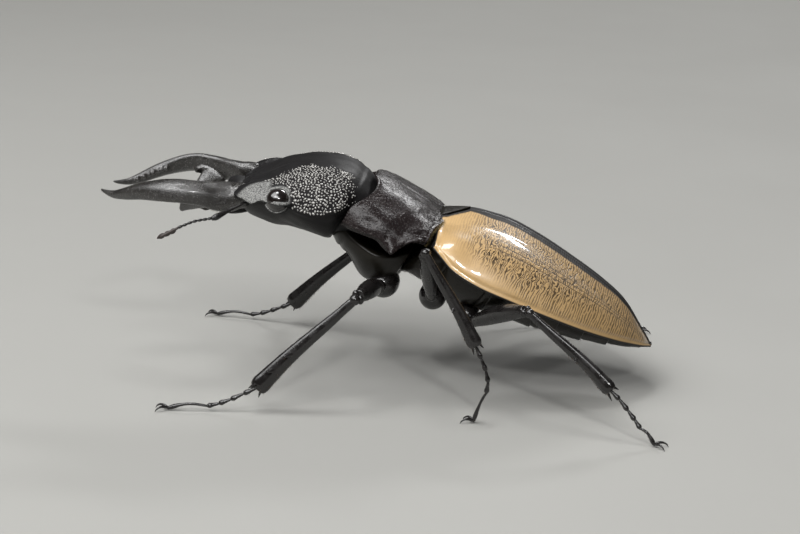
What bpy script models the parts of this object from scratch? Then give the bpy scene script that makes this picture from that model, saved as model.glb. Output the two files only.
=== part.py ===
"""A life-size stag beetle, alert on its six feet with its head raised.

Sizes below are millimetres and are scaled to metres as each mesh is built. The head looks
along -Y, the beetle's left side is +X and the feet stand on the plane Z = 0. The body is
drawn in two pitched frames, one for the front of the thorax and one for the wing cases.
Each of these measures "run" backwards along the body and "rise" square to its back.
"""

import math

import bmesh
import bpy
from mathutils import Vector

MM = 0.001
GAP = 0.35
SHELL = 1.0
SHIFT_X = 0.0135
SHIFT_Y = 2.012
SIDES = (("left", 1.0), ("right", -1.0))

# Pitched frames: (y, z) of the frame's origin, then its nose-up angle in degrees.
THORAX_FRAME = (-3.7, 30.3, 29.0)
REAR_FRAME = (5.0, 21.9, 26.0)

# Wing cases: run, half width, crown rise, margin rise.
WING_CASE = (
    (-0.5, 10.6, 2.7, 0.1),
    (1.0, 11.7, 3.4, -0.3),
    (4.0, 12.6, 4.5, -1.1),
    (8.0, 13.1, 5.3, -1.3),
    (13.0, 13.0, 5.4, -0.95),
    (19.0, 12.1, 4.95, -0.6),
    (24.5, 10.4, 4.0, -0.35),
    (29.5, 7.8, 2.7, -0.1),
    (33.0, 4.7, 1.35, -0.05),
    (35.2, 1.7, 0.3, -0.2),
)
WING_CASE_RUN = (-0.5, 0.4, 1.4, 2.7, 5.0, 8.5, 12.5, 17.0, 21.5, 25.5, 29.0, 31.8, 33.8, 35.2)
SCUTELLUM_HALF_WIDTH = 1.9
SCUTELLUM_LENGTH = 3.0

# Middle and hind thorax under the wing cases: run, half width, middle rise, height, depth.
HIND_THORAX_FRONT = (
    (-1.7, 6.6, -4.2, 1.5, 2.9),
    (-0.8, 8.2, -2.6, 2.1, 4.2),
    (0.4, 9.2, -0.9, 2.6, 6.0),
)
HIND_THORAX_RUN = (2.0, 4.5, 7.5, 10.4)
SHOULDER_ROUNDING = 1.0
BELLY_DEPTH = ((-2.0, 6.2), (4.0, 6.5), (10.0, 5.7), (20.0, 4.4), (28.0, 2.7), (34.5, 0.9))
ABDOMEN_RUN = (10.8, 14.0, 18.0, 22.0, 26.0, 30.0, 32.2, 33.6)

# Pronotum: run, half width, crown rise, margin rise.
PRONOTUM = (
    (0.0, 10.2, 0.0, -6.4),
    (1.2, 11.2, 0.2, -6.7),
    (3.3, 11.9, 0.3, -7.0),
    (5.6, 12.0, 0.3, -6.9),
    (7.2, 12.1, 0.2, -6.4),
    (8.6, 11.5, 0.1, -5.4),
    (10.4, 10.8, 0.0, -3.6),
)
PRONOTUM_RUN = (0.0, 0.9, 2.2, 3.6, 5.2, 6.5, 7.3, 8.1, 9.2, 10.4)
PRONOTUM_SPIKE_RUN = 7.3
PRONOTUM_SPIKE = 1.5
PRONOTUM_CORNER_FORWARD = 0.9

# Underside of the front thorax: run, half width, top rise, bottom rise.
PROSTERNUM = (
    (0.3, 7.6, -7.5, -12.0),
    (2.5, 8.7, -7.8, -13.2),
    (5.5, 9.3, -7.8, -14.2),
    (8.0, 9.0, -6.8, -14.0),
    (9.5, 8.2, -5.7, -12.6),
)

# Head: ridge y, ridge z, half width, height, depth, tilt in degrees.
HEAD = (
    (-22.4, 27.6, 7.6, 1.9, 3.7, 0.0),
    (-21.6, 27.9, 9.1, 2.6, 4.6, 0.0),
    (-19.9, 27.9, 10.0, 3.2, 5.2, 0.0),
    (-18.0, 27.6, 9.8, 3.8, 5.4, 1.0),
    (-16.0, 27.0, 9.9, 4.5, 5.2, 3.0),
    (-13.5, 26.0, 11.0, 5.8, 5.0, 8.0),
    (-11.0, 25.4, 11.4, 6.4, 4.9, 13.0),
    (-9.0, 25.3, 10.9, 6.0, 5.9, 20.0),
    (-7.7, 25.5, 9.4, 5.0, 6.2, 26.0),
)
# Neck, in the thorax frame: run, half width, top rise, bottom rise.
NECK = ((-0.9, 8.8, -0.7, -12.0), (1.3, 8.0, -1.6, -10.8))
NECK_SOCKET = ((-3.0, 10.1, 0.0, -12.9), (1.8, 8.3, -1.1, -11.3))
EYE_CENTRE = (9.75, -16.3, 27.95)
EYE_RADII = (1.55, 1.8, 1.5)

# Left mandible: centre x, y, z, then half width and half height.
MANDIBLE = (
    (5.9, -23.1, 26.9, 1.9, 2.1),
    (5.95, -23.9, 27.0, 2.0, 2.15),
    (7.6, -26.4, 27.65, 1.75, 1.8),
    (8.6, -30.0, 27.75, 1.6, 1.5),
    (8.2, -33.8, 27.4, 1.45, 1.35),
    (6.6, -37.4, 26.85, 1.2, 1.1),
    (4.7, -40.4, 26.2, 0.95, 0.9),
    (2.7, -43.1, 25.6, 0.3, 0.3),
)
# Inner teeth of the left mandible: root, tip, half length along the jaw, half thickness.
MANDIBLE_TEETH = (
    ((8.2, -28.9, 27.3), (4.4, -30.7, 23.9), 2.7, 1.4),
    ((6.7, -36.8, 26.8), (4.9, -37.2, 26.3), 0.8, 0.7),
    ((5.7, -38.6, 26.5), (4.0, -39.1, 26.0), 0.75, 0.65),
    ((4.6, -40.2, 26.2), (3.0, -40.8, 25.8), 0.65, 0.55),
)
RIGHT_MANDIBLE_REACH = 0.96

# Feelers of the left side: centre x, y, z, radius.
SCAPE = ((8.9, -22.0, 25.9, 0.26), (10.4, -23.8, 25.5, 0.32), (11.9, -25.5, 25.05, 0.48))
FUNICLE = ((12.3, -26.15, 25.0), (13.2, -28.0, 24.75), (14.0, -29.8, 24.1))
FUNICLE_BEADS = 6
FUNICLE_RADIUS = 0.33
CLUB = ((14.2, -30.2, 23.9), (15.0, -32.9, 22.5))
CLUB_RADII = (0.36, 0.55)
PALP = ((2.3, -26.3, 24.3, 0.3), (3.0, -27.7, 23.6, 0.36), (2.6, -29.2, 23.3, 0.28))

# Mouth plates: middle y, middle z, half width, half length, half thickness.
LABRUM = (-23.9, 27.3, 2.7, 1.05, 0.8)
MENTUM = (-24.35, 24.3, 3.3, 1.5, 0.85)

# Left legs. The coxa is a centre and radii. A tarsus lists its joints, root to tip.
LEGS = {
    "front": {
        "coxa": ((5.2, -1.9, 15.3), (3.3, 2.3, 2.3)),
        "femur": ((8.9, -2.3, 15.4), (16.3, -4.4, 16.2)),
        "knee": (17.0, -4.9, 15.9),
        "tibia_end": (20.3, -17.8, 3.4),
        "tarsus": (
            (20.6, -19.7, 2.5),
            (21.0, -21.4, 1.7),
            (21.3, -23.0, 1.1),
            (21.6, -24.6, 0.75),
            (22.2, -30.0, 0.34),
        ),
        "femur_radius": 1.45,
        "tibia_radii": (0.7, 1.15),
    },
    "middle": {
        "coxa": ((5.6, 5.2, 13.7), (2.6, 2.0, 2.0)),
        "femur": ((8.5, 5.2, 14.3), (17.2, 4.45, 22.8)),
        "knee": (18.1, 4.5, 23.4),
        "tibia_end": (20.0, 12.0, 11.2),
        "tarsus": (
            (20.3, 12.9, 9.4),
            (20.5, 13.6, 7.8),
            (20.6, 14.0, 6.2),
            (20.5, 13.8, 4.6),
            (20.2, 12.2, 0.34),
        ),
        "femur_radius": 1.3,
        "tibia_radii": (0.6, 0.9),
    },
    "hind": {
        "coxa": ((5.6, 10.3, 11.8), (3.4, 1.6, 1.8)),
        "femur": ((9.3, 11.2, 11.2), (17.5, 18.4, 15.7)),
        "knee": (18.2, 19.1, 15.7),
        "tibia_end": (23.0, 30.6, 6.9),
        "tarsus": (
            (23.5, 31.9, 5.8),
            (24.0, 33.1, 4.5),
            (24.4, 34.1, 3.3),
            (24.8, 34.9, 2.3),
            (25.5, 36.9, 0.34),
        ),
        "femur_radius": 1.3,
        "tibia_radii": (0.6, 0.9),
    },
}
# The right legs stand a little differently; what is not listed here is as on the left.
RIGHT_LEGS = {
    "middle": {
        "femur": ((8.6, 5.4, 14.0), (19.1, 6.6, 18.7)),
        "knee": (19.9, 6.9, 18.9),
        "tibia_end": (22.4, 13.0, 6.2),
        "tarsus": (
            (22.9, 14.0, 4.8),
            (23.4, 15.1, 3.5),
            (24.0, 16.2, 2.4),
            (24.6, 17.3, 1.5),
            (25.4, 20.4, 0.34),
        ),
    },
    "hind": {
        "femur": ((9.3, 11.2, 11.2), (17.9, 17.2, 15.2)),
        "knee": (18.6, 17.8, 15.2),
        "tibia_end": (23.2, 29.4, 6.5),
        "tarsus": (
            (23.7, 30.7, 5.4),
            (24.1, 31.9, 4.1),
            (24.5, 33.0, 3.0),
            (24.9, 33.9, 2.1),
            (25.6, 36.2, 0.34),
        ),
    },
}
TARSUS_RADIUS = 0.42
CLAW_SPAN = 0.85
CLAW_LENGTH = 1.15
CLAW_TIP_RISE = 0.22
FRONT_TIBIA_TEETH = (0.62, 0.8, 0.97)

# Finishes: base colour and roughness.
FINISHES = {
    "shell_black": ((0.012, 0.010, 0.011), 0.34),
    "wing_case_tan": ((0.36, 0.20, 0.08), 0.22),
    "eye_black": ((0.004, 0.004, 0.005), 0.06),
    "leg_black": ((0.010, 0.009, 0.010), 0.20),
    "feeler_brown": ((0.060, 0.036, 0.026), 0.40),
}


def material(slot):
    """The Principled material of one finish, made on its first use."""
    made = bpy.data.materials.get(slot)
    if made:
        return made
    colour, roughness = FINISHES[slot]
    made = bpy.data.materials.new(slot)
    made.use_nodes = True
    shader = made.node_tree.nodes["Principled BSDF"]
    shader.inputs["Base Color"].default_value = (*colour, 1.0)
    shader.inputs["Roughness"].default_value = roughness
    shader.inputs["Metallic"].default_value = 0.0
    return made


def through(stations, t):
    """Values at t of a smooth curve through stations, each (t, value, ...)."""
    last = len(stations) - 1
    i = 0
    while i < last - 1 and t > stations[i + 1][0]:
        i += 1

    def slope(k, column):
        low, high = max(k - 1, 0), min(k + 1, last)
        run = stations[high][0] - stations[low][0]
        return (stations[high][column] - stations[low][column]) / run

    (t0, *a), (t1, *b) = stations[i], stations[i + 1]
    span = t1 - t0
    u = min(max((t - t0) / span, 0.0), 1.0)
    values = []
    for column, (p, q) in enumerate(zip(a, b), start=1):
        m, n = slope(i, column) * span, slope(i + 1, column) * span
        cubic = (2 * p + m - 2 * q + n) * u**3 + (3 * q - 3 * p - 2 * m - n) * u**2
        values.append(cubic + m * u + p)
    return values


def pitched(frame, x, run, rise):
    """Place a point given in a pitched frame."""
    y, z, angle = frame
    cosine, sine = math.cos(math.radians(angle)), math.sin(math.radians(angle))
    return Vector((x, y + run * cosine + rise * sine, z - run * sine + rise * cosine))


def power(value, exponent):
    """A signed power, for superellipses."""
    return math.copysign(abs(value) ** exponent, value)


def oval(frame, run, half_width, middle, height, depth, count, square=2.3, keel=2.3):
    """A closed superellipse across the body, squarer above or below as its exponents rise."""
    ring = []
    for i in range(count):
        angle = 2 * math.pi * (i + 0.5) / count
        exponent = 2 / (square if math.sin(angle) > 0 else keel)
        x = half_width * power(math.cos(angle), exponent)
        rise = power(math.sin(angle), exponent)
        ring.append(pitched(frame, x, run, middle + rise * (height if rise > 0 else depth)))
    return ring


def solid(name, rings, slot, paired=False):
    """Skin rings of equal length and close both ends.

    Args:
        name: the object's name.
        rings: lists of points in millimetres, from one end to the other.
        slot: the finish.
        paired: close the ends between points i and -1 - i, for a ring that is a thin
            arched strip, and otherwise round one middle point.
    """
    bm = bmesh.new()
    rows = [[bm.verts.new(lifted(p)) for p in ring] for ring in rings]
    count = len(rows[0])
    for low, high in zip(rows, rows[1:]):
        for i in range(count):
            j = (i + 1) % count
            bm.faces.new((low[i], low[j], high[j], high[i]))
    for row in (rows[0], rows[-1]):
        if paired:
            for i in range(count // 2 - 1):
                bm.faces.new((row[i], row[i + 1], row[-2 - i], row[-1 - i]))
        else:
            middle = bm.verts.new(sum((v.co for v in row), Vector()) / count)
            for i in range(count):
                bm.faces.new((row[i], row[(i + 1) % count], middle))
    bmesh.ops.triangulate(bm, faces=bm.faces[:])
    bmesh.ops.recalc_face_normals(bm, faces=bm.faces[:])
    return placed(name, bm, slot)


def lifted(point):
    """Millimetres to metres, with nothing below the ground."""
    return Vector((point[0] + SHIFT_X, point[1] + SHIFT_Y, max(point[2], 0.0))) * MM


def placed(name, bm, slot):
    """Turn a bmesh into a named object with its finish, smooth where it is round."""
    mesh = bpy.data.meshes.new(name)
    bm.to_mesh(mesh)
    bm.free()
    mesh.materials.append(material(slot))
    mesh.shade_smooth()
    mesh.set_sharp_from_angle(angle=math.radians(40))
    piece = bpy.data.objects.new(name, mesh)
    bpy.context.collection.objects.link(piece)
    return piece


def tube_rings(stations, sides, up=(0.0, 0.0, 1.0)):
    """Rings round a path of (x, y, z, half width, half height), its half height along up."""
    rings = []
    points = [Vector(station[:3]) for station in stations]
    for i, station in enumerate(stations):
        before, after = points[max(i - 1, 0)], points[min(i + 1, len(points) - 1)]
        along = (after - before).normalized()
        across = along.cross(Vector(up)).normalized()
        upward = across.cross(along)
        half_width, half_height = station[3], station[4]
        ring = []
        for k in range(sides):
            angle = 2 * math.pi * (k + 0.5) / sides
            offset = across * (half_width * math.cos(angle))
            ring.append(points[i] + offset + upward * (half_height * math.sin(angle)))
        rings.append(ring)
    return rings


def spread(stations, steps):
    """Stations numbered by their order, resampled smoothly at steps + 1 places."""
    numbered = [(float(i), *station) for i, station in enumerate(stations)]
    last = len(stations) - 1
    return [through(numbered, last * k / steps) for k in range(steps + 1)]


def ball(name, centre, radii, slot, segments=12, rows=8, grow=0.0):
    """An ellipsoid, larger by grow on every side."""
    bm = bmesh.new()
    bmesh.ops.create_uvsphere(bm, u_segments=segments, v_segments=rows, radius=1.0)
    for v in bm.verts:
        size = [radius + grow for radius in radii]
        v.co = lifted([c + s * p for c, s, p in zip(centre, size, v.co)])
    return placed(name, bm, slot)


def cut(piece, cutter):
    """Cut a hidden shape from a piece."""
    use_tool(piece, cutter, "DIFFERENCE")


def join(piece, tool):
    """Grow a hidden shape onto a piece."""
    use_tool(piece, tool, "UNION")


def use_tool(piece, tool, operation):
    """Add an exact Boolean whose tool stays hidden."""
    tool.hide_render = True
    tool.display_type = "WIRE"
    modifier = piece.modifiers.new(tool.name, "BOOLEAN")
    modifier.operation = operation
    modifier.solver = "EXACT"
    modifier.object = tool


def mirrored(side, point):
    """A left-side point, or its place on the right."""
    return (point[0] * side, *point[1:])


def arch_ring(run, inset=0.0, count=9):
    """Half of the wing cases' arched section, from the suture to the margin."""
    half_width, crown, margin = through(WING_CASE, run)
    inner_edge = 0.15 + seam_opening(run)
    half_width, crown = half_width - inset, crown - inset
    ring = []
    for i in range(count):
        angle = 0.5 * math.pi * i / (count - 1)
        x = inner_edge + (half_width - inner_edge) * math.sin(angle) ** (2 / 2.4)
        rise = margin + (crown - margin) * math.cos(angle) ** (2 / 2.1)
        ring.append((x, rise))
    return ring


def seam_opening(run):
    """How far each wing case draws back from the midline beside the scutellum."""
    share = min(max(1.0 - (run + 0.5) / (SCUTELLUM_LENGTH + 0.4), 0.0), 1.0)
    return SCUTELLUM_HALF_WIDTH * share**0.8


def wing_case(name, side):
    """One wing case: a thin arched shell from the suture to the side margin."""
    rings = []
    for run in WING_CASE_RUN:
        half_width, crown, margin = through(WING_CASE, run)
        thickness = min(SHELL, 0.4 * half_width, 0.6 * (crown - margin))
        profile = arch_ring(run) + arch_ring(run, inset=thickness)[::-1]
        rounding = SHOULDER_ROUNDING * max(1.0 - (run - WING_CASE_RUN[0]) / 4.0, 0.0)
        ring = []
        for x, rise in profile:
            back = rounding * (x / half_width) ** 4
            ring.append(pitched(REAR_FRAME, x * side, run + back, rise))
        rings.append(ring)
    return solid(name, rings, "wing_case_tan", paired=True)


def scutellum():
    """The small shield between the wing cases' front corners."""
    rings = []
    for run in (-0.75, -0.1, 0.7, 1.5, 2.2, 2.7):
        half_width = max(seam_opening(run) - 0.2, 0.12)
        crown = through(WING_CASE, max(run, -0.5))[1] + 0.1
        profile = [(-1, -0.25), (-0.5, -0.02), (0.5, -0.02), (1, -0.25), (0.8, -0.7), (-0.8, -0.7)]
        rings.append([pitched(REAR_FRAME, x * half_width, run, crown + r) for x, r in profile])
    return solid("scutellum", rings, "shell_black")


def belly_section(run):
    """Half width, middle, height and depth of the body under the wing cases."""
    half_width, crown, margin = through(WING_CASE, run)
    inset = min(SHELL, 0.4 * half_width) + GAP + 0.25
    height = max(crown - inset - margin, 0.15)
    return max(half_width - inset, 0.5), margin, height, through(BELLY_DEPTH, run)[0]


def hind_thorax():
    """The middle and hind thorax, which carry the middle and hind legs."""
    rings = [oval(REAR_FRAME, *station, 18) for station in HIND_THORAX_FRONT]
    rings += [oval(REAR_FRAME, run, *belly_section(run), 18, keel=1.8) for run in HIND_THORAX_RUN]
    piece = solid("hind_thorax", rings, "shell_black")
    for pair in ("middle", "hind"):
        sink_coxae(piece, pair)
    return piece


def sink_coxae(piece, pair):
    """Sockets for one pair of coxae."""
    centre, radii = LEGS[pair]["coxa"]
    for label, side in SIDES:
        name = f"socket_{pair}_{label}"
        cut(piece, ball(name, mirrored(side, centre), radii, "shell_black", 10, 6, grow=GAP))


def abdomen():
    """The abdomen, from the hind legs to its tip under the wing cases."""
    rings = [oval(REAR_FRAME, run, *belly_section(run), 18, keel=1.8) for run in ABDOMEN_RUN]
    return solid("abdomen", rings, "shell_black")


def pronotum():
    """The front thorax's back plate, with a spike on each side and forward corners."""
    rings = []
    steps = 16
    for run in PRONOTUM_RUN:
        half_width, crown, margin = through(PRONOTUM, run)
        front = max(1.0 - run / 3.0, 0.0)
        spike = PRONOTUM_SPIKE if run == PRONOTUM_SPIKE_RUN else 0.0
        ring = []
        for i in range(steps + 1):
            angle = math.pi * i / steps
            u = power(math.cos(angle), 2 / 2.3)
            rise = margin + (crown - margin) * abs(math.sin(angle)) ** (2 / 2.1)
            shift = -PRONOTUM_CORNER_FORWARD * front * u * u
            x = half_width * u + (math.copysign(spike, u) if i in (0, steps) else 0.0)
            ring.append(pitched(THORAX_FRAME, x, run + shift, rise))
        for u in (-0.93, -0.5, 0.0, 0.5, 0.93):
            shift = -PRONOTUM_CORNER_FORWARD * front * u * u
            ring.append(pitched(THORAX_FRAME, half_width * u, run + shift, margin - 0.4))
        rings.append(ring)
    piece = solid("pronotum", rings, "shell_black")
    cut(piece, neck_socket("pronotum_socket"))
    return piece


def neck_ring(run, half_width, top, bottom):
    """One oval section of the neck."""
    middle = 0.5 * (top + bottom)
    return oval(THORAX_FRAME, run, half_width, middle, top - middle, middle - bottom, 20)


def neck_socket(name):
    """The hollow that the neck sits in."""
    return solid(name, [neck_ring(*station) for station in NECK_SOCKET], "shell_black")


def prosternum():
    """The front thorax's underside, which carries the front legs."""
    rings = []
    for run, half_width, top, bottom in PROSTERNUM:
        middle = top - 0.9
        section = (half_width, middle, 0.9, middle - bottom)
        rings.append(oval(THORAX_FRAME, run, *section, 18))
    piece = solid("prosternum", rings, "shell_black")
    cut(piece, neck_socket("prosternum_socket"))
    sink_coxae(piece, "front")
    return piece


def head():
    """The head, with its cheeks, its brow in front of the eyes and its neck."""
    rings = []
    for y, z, half_width, height, depth, tilt in HEAD:
        rings.append(oval((y, z, tilt), 0.0, half_width, 0.0, height, depth, 20))
    rings += [neck_ring(*station) for station in NECK]
    piece = solid("head", rings, "shell_black")
    for label, side in SIDES:
        hollow = ball(f"socket_eye_{label}", mirrored(side, EYE_CENTRE), EYE_RADII,
                      "shell_black", 10, 6, grow=GAP)
        cut(piece, hollow)
    return piece


def plate(name, sizes):
    """A small rounded mouth plate across the midline."""
    y, z, half_width, half_length, half_thickness = sizes
    rings = []
    for step, size in ((-1.0, 0.8), (-0.5, 1.0), (0.5, 1.0), (1.0, 0.8)):
        frame = (y + step * half_length, z, 0.0)
        rings.append(oval(frame, 0.0, half_width * size, 0.0, half_thickness * size,
                          half_thickness * size, 12, square=3.0))
    return solid(name, rings, "shell_black")


def mandible(name, side):
    """A bowed jaw with one large inner tooth and three small ones near the tip."""
    stations = [jaw_point(side, station) for station in spread(MANDIBLE, 11)]
    piece = solid(name, tube_rings(stations, 10), "shell_black")
    for number, (root, tip, length, thickness) in enumerate(MANDIBLE_TEETH, start=1):
        root, tip = Vector(jaw_point(side, root)), Vector(jaw_point(side, tip))
        cone = []
        for share, size in ((0.0, 1.0), (0.35, 0.7), (0.7, 0.38), (1.0, 0.08)):
            cone.append((*root.lerp(tip, share), thickness * size, length * size))
        rings = tube_rings(cone, 8 if number == 1 else 6, up=(0.0, 1.0, 0.0))
        join(piece, solid(f"{name}_tooth_{number}", rings, "shell_black"))
    return piece


def jaw_point(side, point):
    """A point of the left jaw, or its place on the right jaw, which reaches a little less."""
    if side > 0:
        return point
    root = MANDIBLE[0][1]
    return (-point[0], root + (point[1] - root) * RIGHT_MANDIBLE_REACH, *point[2:])


def feeler(label, side):
    """Scape, beaded funicle and leafy club of one antenna."""
    path = [(*mirrored(side, p[:3]), p[3], p[3]) for p in spread(SCAPE, 4)]
    solid(f"scape_{label}", tube_rings(path, 7), "leg_black")
    beads = []
    for i, point in enumerate(spread(FUNICLE, 2 * FUNICLE_BEADS)):
        width = FUNICLE_RADIUS if i % 2 else 0.76 * FUNICLE_RADIUS
        beads.append((*mirrored(side, point), width, width))
    solid(f"funicle_{label}", tube_rings(beads, 6), "leg_black")
    start, end = [Vector(mirrored(side, point)) for point in CLUB]
    leaves = []
    for share, size in ((0.0, 0.5), (0.25, 0.95), (0.55, 1.0), (0.8, 0.85), (1.0, 0.4)):
        leaves.append((*start.lerp(end, share), CLUB_RADII[0] * size, CLUB_RADII[1] * size))
    solid(f"club_{label}", tube_rings(leaves, 8), "feeler_brown")
    palp = [(*mirrored(side, p[:3]), p[3], p[3]) for p in spread(PALP, 4)]
    solid(f"palp_{label}", tube_rings(palp, 6), "feeler_brown")


def leg(pair, label, side):
    """Coxa, femur, tibia, tarsus and claws of one leg."""
    sizes = dict(LEGS[pair])
    if side < 0:
        sizes.update(RIGHT_LEGS.get(pair, {}))
    place = f"{pair}_{label}"
    centre, radii = sizes["coxa"]
    ball(f"coxa_{place}", mirrored(side, centre), radii, "leg_black", 10, 6)
    knee = Vector(mirrored(side, sizes["knee"]))
    ankle = Vector(mirrored(side, sizes["tibia_end"]))
    root, end = [Vector(mirrored(side, p)) for p in sizes["femur"]]
    femur(f"femur_{place}", root, end, sizes["femur_radius"])
    tibia(f"tibia_{place}", knee, ankle, sizes["tibia_radii"], pair == "front")
    joints = [Vector(mirrored(side, p)) for p in sizes["tarsus"]]
    tarsus(f"tarsus_{place}", ankle, joints)
    claws(f"claws_{place}", joints[-2], joints[-1])


def femur(name, root, end, radius):
    """A spindle, thickest past its middle, with a rounded knee."""
    shares = ((0.0, 0.45), (0.04, 0.62), (0.25, 0.9), (0.5, 1.0), (0.75, 0.9), (0.92, 0.72),
              (0.985, 0.62), (1.0, 0.35))
    path = [(*root.lerp(end, t), radius * w * 0.8, radius * w) for t, w in shares]
    solid(name, tube_rings(path, 8), "leg_black")


def tibia(name, knee, ankle, radii, toothed):
    """A shin that widens to the ankle, with teeth on the outer edge of a front one."""
    thin, thick = radii
    shares = ((0.0, 0.7), (0.03, 1.0), (0.3, 1.0), (0.6, 1.05), (0.9, 1.2), (1.0, 0.9))
    path = []
    for t, w in shares:
        size = w * (thin + (thick - thin) * t)
        path.append((*knee.lerp(ankle, t), size * 0.8, size))
    piece = solid(name, tube_rings(path, 8), "leg_black")
    if not toothed:
        return
    along = (ankle - knee).normalized()
    outward = Vector((math.copysign(1.0, knee.x), -0.6, 0.3))
    outward = (outward - along * outward.dot(along)).normalized()
    for number, share in enumerate(FRONT_TIBIA_TEETH, start=1):
        root = knee.lerp(ankle, share)
        tip = root + outward * (thick * 1.75) + along * 0.9
        spine = [(*root.lerp(tip, t), 0.55 * w, 0.55 * w) for t, w in ((0, 1), (0.5, 0.7), (1, 0.2))]
        join(piece, solid(f"{name}_tooth_{number}", tube_rings(spine, 6), "leg_black"))


def tarsus(name, ankle, joints):
    """Five beads in a row, the last one long and resting on the ground."""
    first = ankle + (joints[0] - ankle).normalized() * GAP
    path = []
    for low, high in zip([first, *joints], joints):
        for share, width in ((0.0, 0.68), (0.55, 0.85), (0.92, 1.0)):
            size = TARSUS_RADIUS * width
            path.append((*low.lerp(high, share), size, size))
    path.append((*joints[-1], 0.7 * TARSUS_RADIUS, 0.7 * TARSUS_RADIUS))
    solid(name, tube_rings(path, 6), "leg_black")


def claws(name, before, foot):
    """Two hooked claws, made as one bow that opens forwards and down to the ground."""
    forward = foot - before
    forward = Vector((forward.x, forward.y, 0.0)).normalized()
    across = Vector((-forward.y, forward.x, 0.0))
    root = foot + forward * (0.4 + GAP)
    path = []
    steps = 8
    for i in range(steps + 1):
        angle = math.pi * (i / steps - 0.5) * 1.15
        reach = 1.0 - math.cos(angle)
        point = root + across * (CLAW_SPAN * math.sin(angle)) + forward * (CLAW_LENGTH * reach)
        width = 0.3 - 0.18 * abs(2 * i / steps - 1.0) ** 1.5
        hump = CLAW_TIP_RISE * (1.0 - abs(2 * i / steps - 1.0))
        path.append((point.x, point.y, 0.2 + hump, width, width))
    solid(name, tube_rings(path, 6), "leg_black")


def main():
    """Clear the scene and build the beetle."""
    for piece in list(bpy.data.objects):
        bpy.data.objects.remove(piece)
    head()
    plate("labrum", LABRUM)
    plate("mentum", MENTUM)
    pronotum()
    prosternum()
    scutellum()
    hind_thorax()
    abdomen()
    for label, side in SIDES:
        ball(f"eye_{label}", mirrored(side, EYE_CENTRE), EYE_RADII, "eye_black", 10, 6)
        mandible(f"mandible_{label}", side)
        feeler(label, side)
        wing_case(f"wing_case_{label}", side)
        for pair in LEGS:
            leg(pair, label, side)


main()
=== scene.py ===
"""The finished look of a life-size stag beetle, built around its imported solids.

Sizes are millimetres. The drawing is the one that the solids follow: the head looks along
-Y, the beetle's left side is +X and the feet stand on Z = 0. The front of the thorax and
the wing cases are drawn in two pitched frames, where "run" goes backwards along the body
and "rise" goes square to its back. Each sub-assembly is a class with its sizes, each
finish is a small class that makes its own material, and what repeats, such as grains,
beads and bristles, is made by Geometry Nodes.
"""

import logging
import math
from collections.abc import Sequence
from dataclasses import dataclass, field
from enum import Enum

import bpy
import numpy as np
from bpy.types import Material, Mesh, Node, NodeSocket, NodeTree
from mathutils import Matrix, Vector


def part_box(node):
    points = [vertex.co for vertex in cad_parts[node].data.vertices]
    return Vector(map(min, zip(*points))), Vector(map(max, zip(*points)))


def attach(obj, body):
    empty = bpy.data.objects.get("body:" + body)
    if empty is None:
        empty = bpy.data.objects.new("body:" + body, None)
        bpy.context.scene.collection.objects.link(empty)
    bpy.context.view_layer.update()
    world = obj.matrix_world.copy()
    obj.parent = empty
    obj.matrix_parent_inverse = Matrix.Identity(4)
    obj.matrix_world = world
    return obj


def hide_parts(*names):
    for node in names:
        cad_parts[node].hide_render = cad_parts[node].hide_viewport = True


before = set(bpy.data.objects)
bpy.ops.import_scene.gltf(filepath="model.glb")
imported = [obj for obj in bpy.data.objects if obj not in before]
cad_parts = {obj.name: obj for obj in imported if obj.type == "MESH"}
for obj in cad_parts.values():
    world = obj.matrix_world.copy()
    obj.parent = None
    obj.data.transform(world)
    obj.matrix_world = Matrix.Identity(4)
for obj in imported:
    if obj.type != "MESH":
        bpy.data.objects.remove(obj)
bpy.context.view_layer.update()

MM = 0.001
BODY = "root"
SIDES = {"left": 1.0, "right": -1.0}
EYE_CENTRE = (9.75, -16.3, 27.95)

Array = np.ndarray
Piece = bpy.types.Object
Stations = tuple[tuple[float, ...], ...]
Pair = tuple[float, float]
Vector3 = tuple[float, float, float]
Colour = tuple[float, float, float]
Number = object  # a Wire, an output socket or a plain number in a node tree
UP: Vector3 = (0.0, 0.0, 1.0)
log = logging.getLogger("stag beetle")


class Slot(Enum):
    """The record's material slots."""

    SHELL = "shell_black"
    WING_CASE = "wing_case_tan"
    EYE = "eye_black"
    LEG = "leg_black"
    FEELER = "feeler_brown"


class End(Enum):
    """How one end of a lofted net is closed."""

    FAN = "fan"
    STRIP = "strip"


# ---- curves and frames


def drawing_shift() -> Array:
    """How far the drawing lies from the frame's origin, read from the left eye's box."""
    low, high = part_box("eye_left")
    shift = np.array((low + high) / 2) / MM - np.array(EYE_CENTRE)
    shift[2] = 0.0
    return shift


SHIFT = drawing_shift()


def read(stations: Stations, places: Array | float) -> Array:
    """Read a smooth curve through stations, rows of (place, value, ...) in order of place.

    Places past an end read that end. Gives one row of values for each place.
    """
    table = np.asarray(stations, float)
    knots, values = table[:, 0], table[:, 1:]
    slopes = np.empty_like(values)
    slopes[1:-1] = (values[2:] - values[:-2]) / (knots[2:] - knots[:-2])[:, None]
    slopes[0] = (values[1] - values[0]) / (knots[1] - knots[0])
    slopes[-1] = (values[-1] - values[-2]) / (knots[-1] - knots[-2])
    places = np.clip(np.atleast_1d(np.asarray(places, float)), knots[0], knots[-1])
    i = np.clip(np.searchsorted(knots, places, side="left") - 1, 0, len(knots) - 2)
    span = (knots[i + 1] - knots[i])[:, None]
    u = (places - knots[i])[:, None] / span
    p, q, m, n = values[i], values[i + 1], slopes[i] * span, slopes[i + 1] * span
    return (2 * p + m - 2 * q + n) * u**3 + (3 * q - 3 * p - 2 * m - n) * u**2 + m * u + p


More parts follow.
